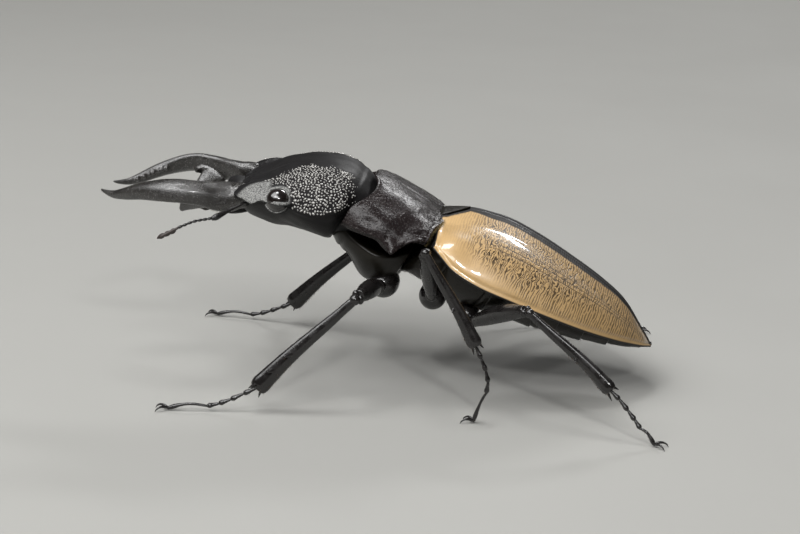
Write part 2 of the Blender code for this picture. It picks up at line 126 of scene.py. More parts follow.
def spread(stations: Stations, count: int) -> Array:
    """Resample stations smoothly at count evenly numbered places, ends included."""
    numbered = [(float(i), *station) for i, station in enumerate(stations)]
    return read(numbered, np.linspace(0.0, len(stations) - 1, count))


def power(value: Array, exponent: float) -> Array:
    """A signed power, for superellipses."""
    return np.sign(value) * np.abs(value) ** exponent


def unit(vector: Array) -> Array:
    """A vector of length 1."""
    return vector / np.linalg.norm(vector)


def ring_angles(count: int) -> Array:
    """Angles of count points round a ring, none of them on an axis."""
    return 2 * math.pi * (np.arange(count) + 0.5) / count


def bump(distance: Array, reach: float) -> Array:
    """A smooth hump: 1 at distance 0, falling to 0 at reach."""
    share = np.clip(1.0 - np.abs(distance) / reach, 0.0, 1.0)
    return share * share * (3.0 - 2.0 * share)


def step(value: Array, low: float, high: float) -> Array:
    """A smooth step from 0 at low to 1 at high."""
    share = np.clip((value - low) / (high - low), 0.0, 1.0)
    return share * share * (3.0 - 2.0 * share)


@dataclass(frozen=True)
class Waves:
    """A fixed sum of plane waves, about length millimetres long, as soft unevenness."""

    length: float
    seed: int
    count: int = 14

    def at(self, points: Array) -> Array:
        """Heights between about -1 and 1 at points in millimetres."""
        dice = np.random.default_rng(self.seed)
        ways = dice.normal(size=(self.count, 3))
        ways /= np.linalg.norm(ways, axis=1, keepdims=True)
        ways *= 2 * math.pi / (self.length * dice.uniform(0.6, 1.6, (self.count, 1)))
        phases = dice.uniform(0, 2 * math.pi, self.count)
        return np.sin(points @ ways.T + phases).sum(axis=-1) / math.sqrt(self.count)


@dataclass(frozen=True)
class PitchedFrame:
    """A frame for one length of the body: its origin's y and z, and its nose-up angle."""

    y: float
    z: float
    degrees: float

    def place(self, x: Array, run: Array, rise: Array) -> Array:
        """Points of the drawing from their places in this frame."""
        cosine, sine = math.cos(math.radians(self.degrees)), math.sin(math.radians(self.degrees))
        x, run, rise = np.broadcast_arrays(x, run, rise)
        y = self.y + run * cosine + rise * sine
        return np.stack((x, y, self.z - run * sine + rise * cosine), axis=-1)

    def way(self, rise: float = 0.0) -> Array:
        """The backward direction in this frame, raised by a slope."""
        return self.place(0.0, 1.0, rise) - self.place(0.0, 0.0, 0.0)

    def oval(self, run: float, half_width: float, middle: float, height: float, depth: float,
             count: int, square: float = 2.3, keel: float = 2.3) -> Array:
        """A closed superellipse across the body, from the left side over the top.

        Args:
            run: its place along the body.
            half_width: half its width.
            middle: the rise of its widest line.
            height: how far it reaches above that line.
            depth: how far it reaches below it.
            count: its number of points.
            square: the exponent above, larger for a squarer section.
            keel: the exponent below.
        """
        angle = ring_angles(count)
        sine = np.sin(angle)
        exponent = np.where(sine > 0, 2 / square, 2 / keel)
        rise = power(sine, exponent)
        x = half_width * power(np.cos(angle), exponent)
        return self.place(x, run, middle + rise * np.where(rise > 0, height, depth))


THORAX = PitchedFrame(-3.7, 30.3, 29.0)
REAR = PitchedFrame(5.0, 21.9, 26.0)


# ---- nets and shapes


def across_net(net: Array) -> Array:
    """How far each point of a net lies from the first of its row, measured over the net."""
    steps = np.linalg.norm(np.diff(net, axis=1), axis=-1)
    return np.concatenate((np.zeros((len(net), 1)), np.cumsum(steps, axis=1)), axis=1)


def net_normals(net: Array, wraps: bool) -> Array:
    """Outward unit normals of a net whose rows ring the piece."""
    along = np.gradient(net, axis=0)
    if wraps:
        across = np.roll(net, -1, axis=1) - np.roll(net, 1, axis=1)
    else:
        across = np.gradient(net, axis=1)
    normal = np.cross(across, along)
    normal /= np.maximum(np.linalg.norm(normal, axis=-1, keepdims=True), 1e-9)
    outward = net - net.mean(axis=1, keepdims=True)
    return normal if (normal * outward).sum() > 0 else -normal


def rings_round(path: Array, sides: int, up: Vector3 = UP, shape: Array | None = None) -> Array:
    """Rings round a path.

    Args:
        path: rows of (x, y, z, half width, half height).
        sides: points on each ring.
        up: the direction that the half heights lie along, roughly.
        shape: radii round the ring, as shares of the half sizes.
    """
    points, sizes = path[:, :3], path[:, 3:5]
    along = np.gradient(points, axis=0)
    along /= np.linalg.norm(along, axis=1, keepdims=True)
    across = np.cross(along, np.array(up, float))
    across /= np.linalg.norm(across, axis=1, keepdims=True)
    upward = np.cross(across, along)
    angle = ring_angles(sides)
    wide, high = np.cos(angle), np.sin(angle)
    if shape is not None:
        wide, high = wide * shape, high * shape
    return (
        points[:, None]
        + across[:, None] * (sizes[:, :1] * wide)[..., None]
        + upward[:, None] * (sizes[:, 1:] * high)[..., None]
    )


def dome_ends(net: Array, near: float = 0.0, far: float = 0.0, rows: int = 5) -> Array:
    """Round off a net of rings with domes that stand near and far past its two ends."""
    angle = np.linspace(0, math.pi / 2, rows + 2)[1:-1, None, None]
    for reach in (near, far):
        net = net[::-1]
        if reach:
            middle = net[-1].mean(0)
            way = middle - net[-2].mean(0)
            way /= max(np.linalg.norm(way), 1e-9)
            dome = middle + (net[-1] - middle) * np.cos(angle) + way * reach * np.sin(angle)
            net = np.concatenate((net, dome))
    return net


def plain_mesh(name: str, points: Array, edges: Sequence[tuple[int, ...]] = (),
               faces: Sequence[tuple[int, ...]] = ()) -> Mesh:
    """A mesh from points in millimetres of the drawing."""
    mesh = bpy.data.meshes.new(name)
    mesh.from_pydata(((points + SHIFT) * MM).tolist(), edges, faces)
    return mesh


def linked(name: str, data: bpy.types.ID) -> Piece:
    """A new object in the scene that shows some data."""
    made = bpy.data.objects.new(name, data)
    bpy.context.scene.collection.objects.link(made)
    return made


@dataclass
class Shape:
    """Points, faces and marks gathered for one mesh, in millimetres of the drawing."""

    points: list[Array] = field(default_factory=list)
    faces: list[tuple[int, ...]] = field(default_factory=list)
    marks: dict[str, list[Array]] = field(default_factory=dict)
    size: int = 0

    def add(self, net: Array, end: End = End.FAN, marks: dict[str, Array] | None = None) -> "Shape":
        """Add a closed skin over a net of rings, with marks for each of its points."""
        rows, columns, _ = net.shape
        grid = np.arange(rows * columns).reshape(rows, columns)
        after = np.roll(grid, -1, axis=1)
        quads = np.stack((grid[:-1], after[:-1], after[1:], grid[1:]), axis=-1).reshape(-1, 4)
        points = [net.reshape(-1, 3)]
        faces = [tuple(q) for q in quads.tolist()]
        extra = 0
        for row, turn in ((grid[0], False), (grid[-1], True)):
            if end is End.STRIP:
                cap = [(row[i], row[-1 - i], row[-2 - i], row[i + 1]) for i in range(columns // 2 - 1)]
            else:
                middle = rows * columns + extra
                extra += 1
                points.append(points[0][row].mean(0, keepdims=True))
                cap = [(row[i], middle, row[(i + 1) % columns]) for i in range(columns)]
            faces += [tuple(int(v) for v in (c[::-1] if turn else c)) for c in cap]
        self._take(np.concatenate(points), faces, marks or {}, extra)
        return self

    def tube(self, line: Array, wide: Array | float, high: Array | float, sides: int,
             ends: Pair, up: Vector3 = UP, shape: Array | None = None) -> "Shape":
        """Add a tube along a line, with its half width and half height and domed ends."""
        path = np.column_stack((line, np.broadcast_to(wide, len(line)), np.broadcast_to(high, len(line))))
        return self.add(dome_ends(rings_round(path, sides, up, shape), *ends))

    def ball(self, centre: Sequence[float], radii: Vector3, rows: int = 18,
             columns: int = 28) -> "Shape":
        """Add an ellipsoid."""
        polar = np.linspace(0, math.pi, rows + 2)[1:-1]
        around = 2 * math.pi * np.arange(columns) / columns
        net = np.stack(
            (
                np.outer(np.sin(polar), np.cos(around)),
                np.outer(np.sin(polar), np.sin(around)),
                np.outer(np.cos(polar), np.ones(columns)),
            ),
            axis=-1,
        )
        return self.add(net * np.array(radii) + np.array(centre))

    def _take(self, points: Array, faces: list[tuple[int, ...]],
              marks: dict[str, Array], extra: int) -> None:
        """Store one closed skin with its faces outwards; extra points take the mean mark."""
        a, b, c = (points[[f[k] for f in faces]] for k in range(3))
        d = points[[f[-1] for f in faces]]
        centre = points.mean(0)
        volume = np.einsum("ij,ij->", np.cross(a - centre, b - centre), c - centre)
        volume += np.einsum("ij,ij->", np.cross(a - centre, c - centre), d - centre)
        if volume < 0:
            faces = [f[::-1] for f in faces]
        self.faces += [tuple(v + self.size for v in f) for f in faces]
        self.points.append(points)
        for name, values in marks.items():
            spare = np.full(extra, np.mean(values))
            self.marks.setdefault(name, []).append(np.concatenate((np.ravel(values), spare)))
        self.size += len(points)

    def piece(self, name: str) -> Piece:
        """Make the mesh object, in place and smooth."""
        points = np.concatenate(self.points)
        points[:, 2] = np.maximum(points[:, 2], 0.0)
        made = linked(name, plain_mesh(name, points, faces=self.faces))
        for label, values in self.marks.items():
            mark(made.data, label, np.concatenate(values))
        made.data.shade_smooth()
        return made


def mark(mesh: Mesh, name: str, values: Array) -> None:
    """Store one number for each vertex, for a finish or a node tree to read."""
    attribute = mesh.attributes.get(name) or mesh.attributes.new(name, "FLOAT", "POINT")
    attribute.data.foreach_set("value", np.asarray(values, np.float32))


def vertices(piece: Piece) -> Array:
    """A piece's vertices in millimetres of the drawing."""
    co = np.empty(len(piece.data.vertices) * 3, np.float32)
    piece.data.vertices.foreach_get("co", co)
    return co.reshape(-1, 3).astype(float) / MM - SHIFT


def vertex_normals(piece: Piece) -> Array:
    """A piece's vertex normals."""
    normals = np.empty(len(piece.data.vertices) * 3, np.float32)
    piece.data.vertex_normals.foreach_get("vector", normals)
    return normals.reshape(-1, 3).astype(float)


def settle(piece: Piece) -> Piece:
    """Turn a piece and its modifiers into a plain mesh of the same name."""
    piece.update_tag()
    bpy.context.view_layer.update()
    depsgraph = bpy.context.evaluated_depsgraph_get()
    mesh = bpy.data.meshes.new_from_object(piece.evaluated_get(depsgraph), depsgraph=depsgraph)
    old = piece.data
    piece.modifiers.clear()
    piece.data = mesh
    mesh.name = piece.name
    if old.users == 0:
        bpy.data.meshes.remove(old)
    return piece


def fused(name: str, shape: Shape, voxel: float, smoothing: int) -> Piece:
    """Blend overlapping closed skins into one even skin.

    Args:
        name: the piece's name.
        shape: the overlapping skins.
        voxel: the new skin's grain in millimetres.
        smoothing: rounds of smoothing over the joins.
    """
    made = shape.piece(name)
    remesh = made.modifiers.new("blend", "REMESH")
    remesh.mode = "VOXEL"
    remesh.voxel_size = voxel * MM
    remesh.use_smooth_shade = True
    smooth = made.modifiers.new("soften", "SMOOTH")
    smooth.factor = 0.5
    smooth.iterations = smoothing
    return settle(made)


def finished(made: Piece, finish: "Finish", slot: Slot, *nodes: str) -> Piece:
    """Dress a piece, tie it to the frame and give it back.

    Args:
        made: the piece, in place.
        finish: its finish.
        slot: the record's slot; not used.
        nodes: the solids that it stands for.
    """
    made.data.materials.clear()
    made.data.materials.append(finish.material())
    made.data.shade_smooth()
    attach(made, BODY)
    if nodes:
        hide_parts(*nodes)
    log.info("%s: %d faces", made.name, len(made.data.polygons))
    return made


class Wire:
    """A number inside a node tree, so that sums on it read as plain arithmetic."""

    def __init__(self, tree: "Tree", socket: NodeSocket) -> None:
        """Keep the tree and the output that carries the number."""
        self.tree = tree
        self.socket = socket

    def __add__(self, other: Number) -> "Wire":
        """The sum."""
        return self.tree.math("ADD", self, other)

    def __sub__(self, other: Number) -> "Wire":
        """The difference."""
        return self.tree.math("SUBTRACT", self, other)

    def __rsub__(self, other: float) -> "Wire":
        """The difference from a plain number."""
        return self.tree.math("SUBTRACT", other, self)

    def __mul__(self, other: Number) -> "Wire":
        """The product."""
        return self.tree.math("MULTIPLY", self, other)

    def __truediv__(self, other: Number) -> "Wire":
        """The quotient."""
        return self.tree.math("DIVIDE", self, other)

    def step(self, low: float, high: float, start: Number = 0.0, end: Number = 1.0) -> "Wire":
        """A smooth step: start where this number is at low, end where it is at high."""
        node = self.tree.add("ShaderNodeMapRange", {"interpolation_type": "SMOOTHSTEP"},
                             i0=self, i1=low, i2=high, i3=start, i4=end)
        return Wire(self.tree, node.outputs[0])


# ---- node trees


class Tree:
    """A node tree under construction, with short ways to add and link nodes."""

    def __init__(self, tree: NodeTree) -> None:
        """Keep the tree that nodes are added to."""
        self.tree = tree

    def add(self, kind: str, settings: dict[str, object] | None = None, **inputs: object) -> Node:
        """Add a node.

        Args:
            kind: the node's type, such as "ShaderNodeMath".
            settings: its properties.
            inputs: its inputs by socket name, with _ for a space, or i0, i1 for a place in
                the list. Wires, sockets and nodes are linked; anything else is a value.
        """
        node = self.tree.nodes.new(kind)
        for name, value in (settings or {}).items():
            setattr(node, name, value)
        for name, value in inputs.items():
            if name[0] == "i" and name[1:].isdigit():
                socket = node.inputs[int(name[1:])]
            else:
                wanted = name.replace("_", " ")
                socket = next(s for s in node.inputs if s.name == wanted and s.enabled)
            self.feed(socket, value)
        return node

    def feed(self, socket: NodeSocket, value: object) -> None:
        """Link a socket to an input, or set the input's value."""
        if isinstance(value, Wire):
            value = value.socket
        if isinstance(value, Node):
            value = value.outputs[0]
        if isinstance(value, NodeSocket):
            self.tree.links.new(value, socket)
        else:
            socket.default_value = value

    def math(self, operation: str, *numbers: Number) -> Wire:
        """One sum or comparison of up to three numbers."""
        places = {f"i{place}": number for place, number in enumerate(numbers)}
        return Wire(self, self.add("ShaderNodeMath", {"operation": operation}, **places).outputs[0])

    def vector(self, operation: str, a: object, b: object) -> NodeSocket:
        """One sum of two vectors."""
        return self.add("ShaderNodeVectorMath", {"operation": operation}, i0=a, i1=b).outputs[0]

    def scaled(self, vector: object, share: object) -> Node:
        """A vector times a number."""
        return self.add("ShaderNodeVectorMath", {"operation": "SCALE"}, i0=vector, Scale=share)

    def joined(self, x: object = 0.0, y: object = 0.0, z: object = 0.0) -> Node:
        """A vector from its three numbers."""
        return self.add("ShaderNodeCombineXYZ", i0=x, i1=y, i2=z)


class Paint(Tree):
    """A material's tree, with the textures that the finishes use."""

    def __init__(self, name: str) -> None:
        """Start a material with one Principled shader."""
        self.made = bpy.data.materials.new(name)
        self.made.use_nodes = True
        super().__init__(self.made.node_tree)
        self.tree.nodes.clear()
        self.shader = self.add("ShaderNodeBsdfPrincipled")
        self.add("ShaderNodeOutputMaterial", i0=self.shader.outputs[0])
        self.place = self.add("ShaderNodeTexCoord").outputs["Object"]

    def set(self, **inputs: object) -> Material:
        """Set or link the shader's inputs by name and give the material."""
        for name, value in inputs.items():
            self.feed(self.shader.inputs[name.replace("_", " ")], value)
        return self.made

    def number(self, name: str) -> Wire:
        """A mark of the mesh."""
        return Wire(self, self.add("ShaderNodeAttribute", {"attribute_name": name}).outputs["Fac"])

    def noise(self, size: float, detail: float = 2.0, rough: float = 0.5, place: object = None) -> Wire:
        """Cloudy noise, its features about size millimetres, on object coordinates or a place."""
        scale = (1.0 if place else 1.0 / MM) / size
        node = self.add("ShaderNodeTexNoise", Vector=place or self.place, Scale=scale,
                        Detail=detail, Roughness=rough)
        return Wire(self, node.outputs[0])

    def cells(self, size: float) -> Wire:
        """Distances from the middles of cells about size millimetres across."""
        node = self.add("ShaderNodeTexVoronoi", Vector=self.place, Scale=1.0 / MM / size)
        return Wire(self, node.outputs["Distance"])

    def blend(self, share: Wire, low: object, high: object) -> NodeSocket:
        """A colour between low and high."""
        node = self.add("ShaderNodeMix", {"data_type": "RGBA"}, i0=share)
        for socket, value in ((node.inputs[6], low), (node.inputs[7], high)):
            self.feed(socket, (*value, 1.0) if isinstance(value, tuple) else value)
        return node.outputs[2]

    def relief(self, height: Wire, depth: float, strength: float = 1.0,
               under: object = None) -> NodeSocket:
        """A normal raised by height, depth millimetres from 0 to 1, over another normal."""
        node = self.add("ShaderNodeBump", Strength=strength, Distance=depth * MM, Height=height)
        if under is not None:
            self.feed(node.inputs["Normal"], under)
        return node.outputs[0]


@dataclass(frozen=True)
class Finish:
    """A finish, made once and then shared by the pieces that ask for it."""

    name: str

    def material(self) -> Material:
        """The finish's material, painted on its first use."""
        made = bpy.data.materials.get(self.name)
        if made is None or not made.get("painted"):
            made = self.paint(Paint(self.name))
            made["painted"] = True
        return made

    def paint(self, paint: Paint) -> Material:
        """Paint the material; each finish does this its own way."""
        raise NotImplementedError


@dataclass(frozen=True)
class ShellFinish(Finish):
    """Black shell, from satin to gloss, with fine grain, pits and a little colour cast, and where asked
    painted glint specks, painted shade between grains and painted top light.
    """

    deep: Colour = (0.0045, 0.0040, 0.0042)  # its colour in the hollows of the grain
    cast: Colour = (0.0150, 0.0120, 0.0120)  # its colour on the swells, brown, blue or violet
    satin: float = 0.44  # roughness where it is worn matt
    gloss: float = 0.28  # roughness where it is polished
    grain: Pair = (0.16, 0.012)  # the grain's size and depth in millimetres
    pit: Pair = (0.45, 0.010)  # the pits' spacing and depth in millimetres
    lacquer: float = 0.02  # how much clear coat lies over it
    shine: float = 0.5  # its specular level, 0.5 for plain shell
    matt_and_shade_mark: str = ""  # a mark of the mesh that says where the ground is matt and painted darker, as shade between grains
    pale_mark: str = ""  # a mark of the mesh that says where fine frosting makes it pale, marked only on faces that look up: partly painted light from above
    pale: Colour = (0.25, 0.25, 0.24)  # the colour of the frosting, which is also painted top light
    sparkle_speck: float = 0.0  # the size of the sparkle specks in millimetres, 0 for none: painted glints of fine granules
    sparkle_colour: Colour = (0.075, 0.066, 0.062)  # their colour: pale for painted glints on dark shell, dark for breaks in the painted glints of pale grains

    def paint(self, paint: Paint) -> Material:
        """Grain over pits, with patches of gloss."""
        patches = paint.noise(3.2, detail=4.0, rough=0.6)
        fine = paint.noise(self.grain[0], detail=3.0, rough=0.65)
        pits = paint.cells(self.pit[0]).step(0.08, 0.38)
        tone = (patches + fine) * 0.5
        colour = paint.blend(tone, self.deep, self.cast)
        rough = (tone + pits * -0.08).step(0.30, 0.62, self.gloss, self.satin)
        # specks of another colour paint the sparkle of the fine granules: painted glints
        if self.sparkle_speck:
            colour = paint.blend(self.sparkle_specks(paint), colour, self.sparkle_colour)
        # where the mark says, the ground is matt and its colour goes dark: painted shade between the grains
        if self.matt_and_shade_mark:
            matt_and_shade = paint.number(self.matt_and_shade_mark)
            colour = paint.blend(matt_and_shade, colour, self.deep)
            rough = matt_and_shade * 0.22 + rough
        # the frosting is pale only where the surface looks up: painted light from above over a real
        # frosting
        if self.pale_mark:
            frost = paint.noise(0.20, detail=3.0, rough=0.7).step(0.36, 0.62, 0.15, 1.0)
            colour = paint.blend(frost * paint.number(self.pale_mark), colour, self.pale)
        swell = paint.relief(paint.noise(1.6), depth=0.05, strength=0.35)
        pitted = paint.relief(pits, self.pit[1], under=swell)
        return paint.set(
            Base_Color=colour,
            Roughness=rough,
            Coat_Weight=self.lacquer,
            Coat_Roughness=0.12,
            Coat_IOR=1.5 + self.shine * 0.3,
            Specular_IOR_Level=self.shine,
            Normal=paint.relief(fine, self.grain[1], under=pitted),
        )

    def sparkle_specks(self, paint: Paint) -> Wire:
        """Where the painted glint specks lie: some cells only, and more of them in some places."""
        dots = paint.cells(self.sparkle_speck).step(0.16, 0.42, 1.0, 0.0)
        chosen = paint.noise(self.sparkle_speck * 1.7, detail=1.0).step(0.36, 0.56)
        return dots * chosen * paint.noise(2.8, detail=3.0).step(0.35, 0.65, 0.25, 1.0)


@dataclass(frozen=True)
class WingCaseFinish(Finish):
    """Lacquered ochre wing case with black seam and rims and fine dark wrinkles.

    It reads the wing case's own marks: seam_mm, rim_mm and base_mm are distances from the
    seam, from the side margin and from the base.
    """

    gold: Colour = (0.545, 0.355, 0.158)  # the colour at the shoulder and along the margin
    ochre: Colour = (0.47, 0.310, 0.145)  # the colour of the middle
    umber: Colour = (0.36, 0.238, 0.110)  # the colour towards the tip
    wrinkle: Colour = (0.036, 0.024, 0.014)  # the colour of the wrinkles
    black: Colour = (0.007, 0.006, 0.006)  # the colour of the seam band and the rims
    length: float = 35.7  # the wing case's length
    # the seam band's half width at the base, in the middle and at the tip
    seam_band: Vector3 = (0.80, 1.85, 0.70)
    rim_band: float = 0.42  # the black rim's width
    period: float = 0.36  # the distance between two ripples
    curl: Pair = (1.5, 7.0)  # how far the ripples wander, outside the disc and on it
    # where two faint long lines lie between seam and margin, and half their distance
    veins: Pair = (0.50, 0.033)

    def paint(self, paint: Paint) -> Material:
        """Ground colour, wrinkles, bands, lacquer and relief."""
        seam, rim, base = (paint.number(n) for n in ("seam_mm", "rim_mm", "base_mm"))
        wrinkles = self.wrinkles(paint, seam, rim, base)
        band = self.bands(paint, seam, rim, base)
        coloured = paint.blend(wrinkles, self.ground(paint, rim, base), self.wrinkle)
        polish = paint.noise(2.4, detail=4.0).step(0.3, 0.7, 0.30, 0.42)
        soft = paint.relief(paint.noise(2.2), depth=0.035, strength=0.6)
        furrows = paint.relief(1.0 - wrinkles, 0.022, 0.9, under=soft)
        pores = paint.cells(0.36).step(0.05, 0.30)
        return paint.set(
            Base_Color=paint.blend(band, coloured, self.black),
            Roughness=band * 0.22 + polish,
            Coat_Weight=band.step(0.0, 1.0, 0.75, 0.04),
            Coat_Roughness=0.07,
            Coat_IOR=1.5,
            Specular_IOR_Level=0.45,
            Normal=paint.relief(pores, 0.008, 0.8, under=furrows),
            Coat_Normal=soft,
        )

    def ground(self, paint: Paint, rim: Wire, base: Wire) -> NodeSocket:
        """Gold at the shoulder and margin, browner towards the tip."""
        cloud = (paint.noise(5.0, detail=3.0, rough=0.55) - 0.5) * 9.0
        back = (base + cloud).step(6.0, 0.86 * self.length)
        mottle = paint.noise(0.9, detail=4.0, rough=0.65).step(0.30, 0.75)
        middle = paint.blend(back, self.ochre, self.umber)
        margin = rim.step(0.6, 4.6, 1.0, 0.0) * base.step(8.0, 26.0, 1.0, 0.15)
        edge = paint.math("MAXIMUM", margin, base.step(0.0, 7.0, 1.0, 0.0))
        gilt = paint.blend(edge * 0.8, middle, self.gold)
        return paint.blend(mottle * 0.30, gilt, self.umber)

    def wrinkles(self, paint: Paint, seam: Wire, rim: Wire, base: Wire) -> Wire:
        """Broken ripples across the wing case, which wander like worms over its disc."""
        disc = base.step(4.0, 8.0) * base.step(15.0, 27.0, 1.0, 0.25)
        disc = disc * (seam.step(1.5, 4.5) * rim.step(2.0, 5.0))
        curl = paint.noise(1.0, place=paint.joined(seam * 0.45, base)) - 0.5
        plain, curled = self.curl
        phase = base / self.period + curl * (disc * (curled - plain) + plain)
        ripple = paint.math("PINGPONG", phase, 0.5).step(0.17, 0.33, 1.0, 0.0)
        broken = paint.noise(0.30, detail=1.0, place=paint.joined(seam * 0.33, base)).step(0.30, 0.46)
        inset = rim / base.step(5.0, 17.0, 1.9, 0.5)
        where = base.step(1.5, 7.5, 0.15, 1.0) * inset.step(1.0, 3.4, 0.05, 1.0)
        patch = paint.noise(2.6, detail=3.0, rough=0.6).step(0.30, 0.60, 0.72, 1.0)
        amount = where * patch * (disc * 0.25 + 0.75)
        return paint.math("MAXIMUM", ripple * broken * amount, self.lines(paint, seam, rim, base))

    def lines(self, paint: Paint, seam: Wire, rim: Wire, base: Wire) -> Wire:
        """Two faint lines that run the wing case's length side by side."""
        middle, apart = self.veins
        share = seam / (seam + rim) - middle
        line = paint.math("PINGPONG", share, apart).step(0.002, 0.011, 0.85, 0.0)
        near = paint.math("ABSOLUTE", share).step(apart * 2.3, apart * 2.6, 1.0, 0.0)
        return line * near * base.step(7.0, 10.0)

    def bands(self, paint: Paint, seam: Wire, rim: Wire, base: Wire) -> Wire:
        """Black along the seam, the side margin and the base."""
        ragged = (paint.noise(0.7, detail=3.0) - 0.5) * 0.35
        first, middle, last = self.seam_band
        width = base.step(1.0, 8.0, first / middle, 1.0) * base.step(21.0, 0.96 * self.length, middle, last)
        by_seam = (seam + ragged - width).step(-0.22, 0.16, 1.0, 0.0)
        by_rim = rim.step(self.rim_band - 0.10, self.rim_band + 0.08, 1.0, 0.0)
        by_edge = paint.math("MAXIMUM", by_rim, base.step(0.24, 0.40, 1.0, 0.0))
        return paint.math("MAXIMUM", by_seam, by_edge)


@dataclass(frozen=True)
class EyeFinish(Finish):
    """A wet black compound eye with facets too fine to count."""

    deep: Colour = (0.0035, 0.0028, 0.0030)
    brown: Colour = (0.010, 0.006, 0.0045)
    facet: float = 0.045

    def paint(self, paint: Paint) -> Material:
        """Fine facets under a clear coat."""
        facets = paint.cells(self.facet).step(0.1, 0.6)
        return paint.set(
            Base_Color=paint.blend(paint.noise(1.1), self.deep, self.brown),
            Roughness=facets.step(0.0, 1.0, 0.16, 0.24),
            Coat_Weight=1.0,
            Coat_Roughness=0.08,
            Normal=paint.relief(facets, depth=0.002, strength=0.6),
        )


@dataclass(frozen=True)
class LimbFinish(Finish):
    """Polished black limb shell with patches of finer and coarser polish."""

    deep: Colour = (0.0045, 0.0042, 0.0042)
    cast: Colour = (0.013, 0.011, 0.0105)
    satin: float = 0.36
    gloss: float = 0.18
    pit: float = 0.30

    def paint(self, paint: Paint) -> Material:
        """Pits and soft swells under a thin coat."""
        patches = paint.noise(1.9, detail=4.0, rough=0.6)
        pits = paint.cells(self.pit).step(0.06, 0.34)
        swell = paint.relief(paint.noise(0.8), depth=0.030, strength=0.6)
        return paint.set(
            Base_Color=paint.blend(patches, self.deep, self.cast),
            Roughness=patches.step(0.32, 0.66, self.gloss, self.satin),
            Coat_Weight=0.3,
            Coat_Roughness=0.08,
            Normal=paint.relief(pits, 0.012, 0.9, under=swell),
        )


@dataclass(frozen=True)
class FeelerFinish(Finish):
    """Brown-black velvety feeler leaves and palps."""

    deep: Colour = (0.012, 0.008, 0.007)
    tip: Colour = (0.060, 0.043, 0.036)

    def paint(self, paint: Paint) -> Material:
        """A soft nap, with a sheen."""
        nap = paint.noise(0.07, detail=3.0, rough=0.7)
        return paint.set(
            Base_Color=paint.blend(nap.step(0.3, 0.75), self.deep, self.tip),
            Roughness=nap.step(0.2, 0.8, 0.42, 0.62),
            Sheen_Weight=0.35,
            Sheen_Roughness=0.4,
            Normal=paint.relief(nap, 0.010, 0.9),
        )


@dataclass(frozen=True)
class HairFinish(Finish):
    """Short stiff hair, from dark brown to golden in random patches."""

    root: Colour = (0.10, 0.068, 0.026)
    tip: Colour = (0.40, 0.30, 0.12)

    def paint(self, paint: Paint) -> Material:
        """Strands of slightly different tone."""
        tone = paint.noise(0.35).step(0.3, 0.7)
        return paint.set(Base_Color=paint.blend(tone, self.root, self.tip),
                         Roughness=tone.step(0.0, 1.0, 0.38, 0.52))


@dataclass(frozen=True)
class FloorFinish(Finish):
    """A plain pale studio floor with the faintest cloud in it."""

    light: Colour = (0.32, 0.317, 0.30)
    shade: Colour = (0.30, 0.297, 0.28)

    def paint(self, paint: Paint) -> Material:
        """Matt and even."""
        cloud = paint.noise(60.0, detail=3.0)
        return paint.set(Base_Color=paint.blend(cloud, self.light, self.shade),
                         Roughness=cloud.step(0.2, 0.8, 0.75, 0.85))


class Look:
    """The finishes of this beetle."""

    # darker where the grains stand, as painted shade between them, and pale on the upward faces of the eye
    # bars and rims, as painted top light over frosting
    head = ShellFinish(
        "head_shell", cast=(0.0125, 0.0120, 0.0125), satin=0.56, gloss=0.44, lacquer=0.0, shine=0.2,
        matt_and_shade_mark="grain", pale_mark="pale",
    )
    # the grains' pale colour stands in for their glints: painted highlight, cut into spots by dark specks
    grain = ShellFinish(
        "cheek_grain", deep=(0.15, 0.146, 0.137), cast=(0.46, 0.445, 0.42), satin=0.32, gloss=0.20,
        grain=(0.16, 0.003), lacquer=0.6, sparkle_speck=0.55, sparkle_colour=(0.030, 0.029, 0.027),
    )
    # pale specks paint the jaws' speckled sheen: painted glints
    jaw = ShellFinish(
        "jaw_shell", deep=(0.005, 0.0045, 0.004), cast=(0.022, 0.019, 0.017), satin=0.40, gloss=0.26,
        grain=(0.16, 0.050), pit=(0.30, 0.040), lacquer=0.15, shine=0.9, sparkle_speck=0.27,
        sparkle_colour=(0.13, 0.125, 0.115),
    )
    # pale specks paint the sparkle of the fine granulation: painted glints
    pronotum = ShellFinish(
        "pronotum_shell", cast=(0.020, 0.0135, 0.0135), satin=0.31, gloss=0.22,
        grain=(0.24, 0.050), pit=(0.34, 0.040), shine=0.28, sparkle_speck=0.27,
    )
    belly = ShellFinish("belly_shell", cast=(0.014, 0.0115, 0.0065), satin=0.40, shine=0.3)
    wing_case = WingCaseFinish("wing_case")
    eye = EyeFinish("eye")
    limb = LimbFinish("limb_shell")
    feeler = FeelerFinish("feeler_leaves")
    palp = FeelerFinish("palp_shell", deep=(0.006, 0.004, 0.003), tip=(0.022, 0.015, 0.010))
    hair = HairFinish("golden_hair")
    bristle = HairFinish("dark_bristle", root=(0.020, 0.011, 0.006), tip=(0.14, 0.075, 0.032))
    floor = FloorFinish("studio_floor")


# ---- what repeats


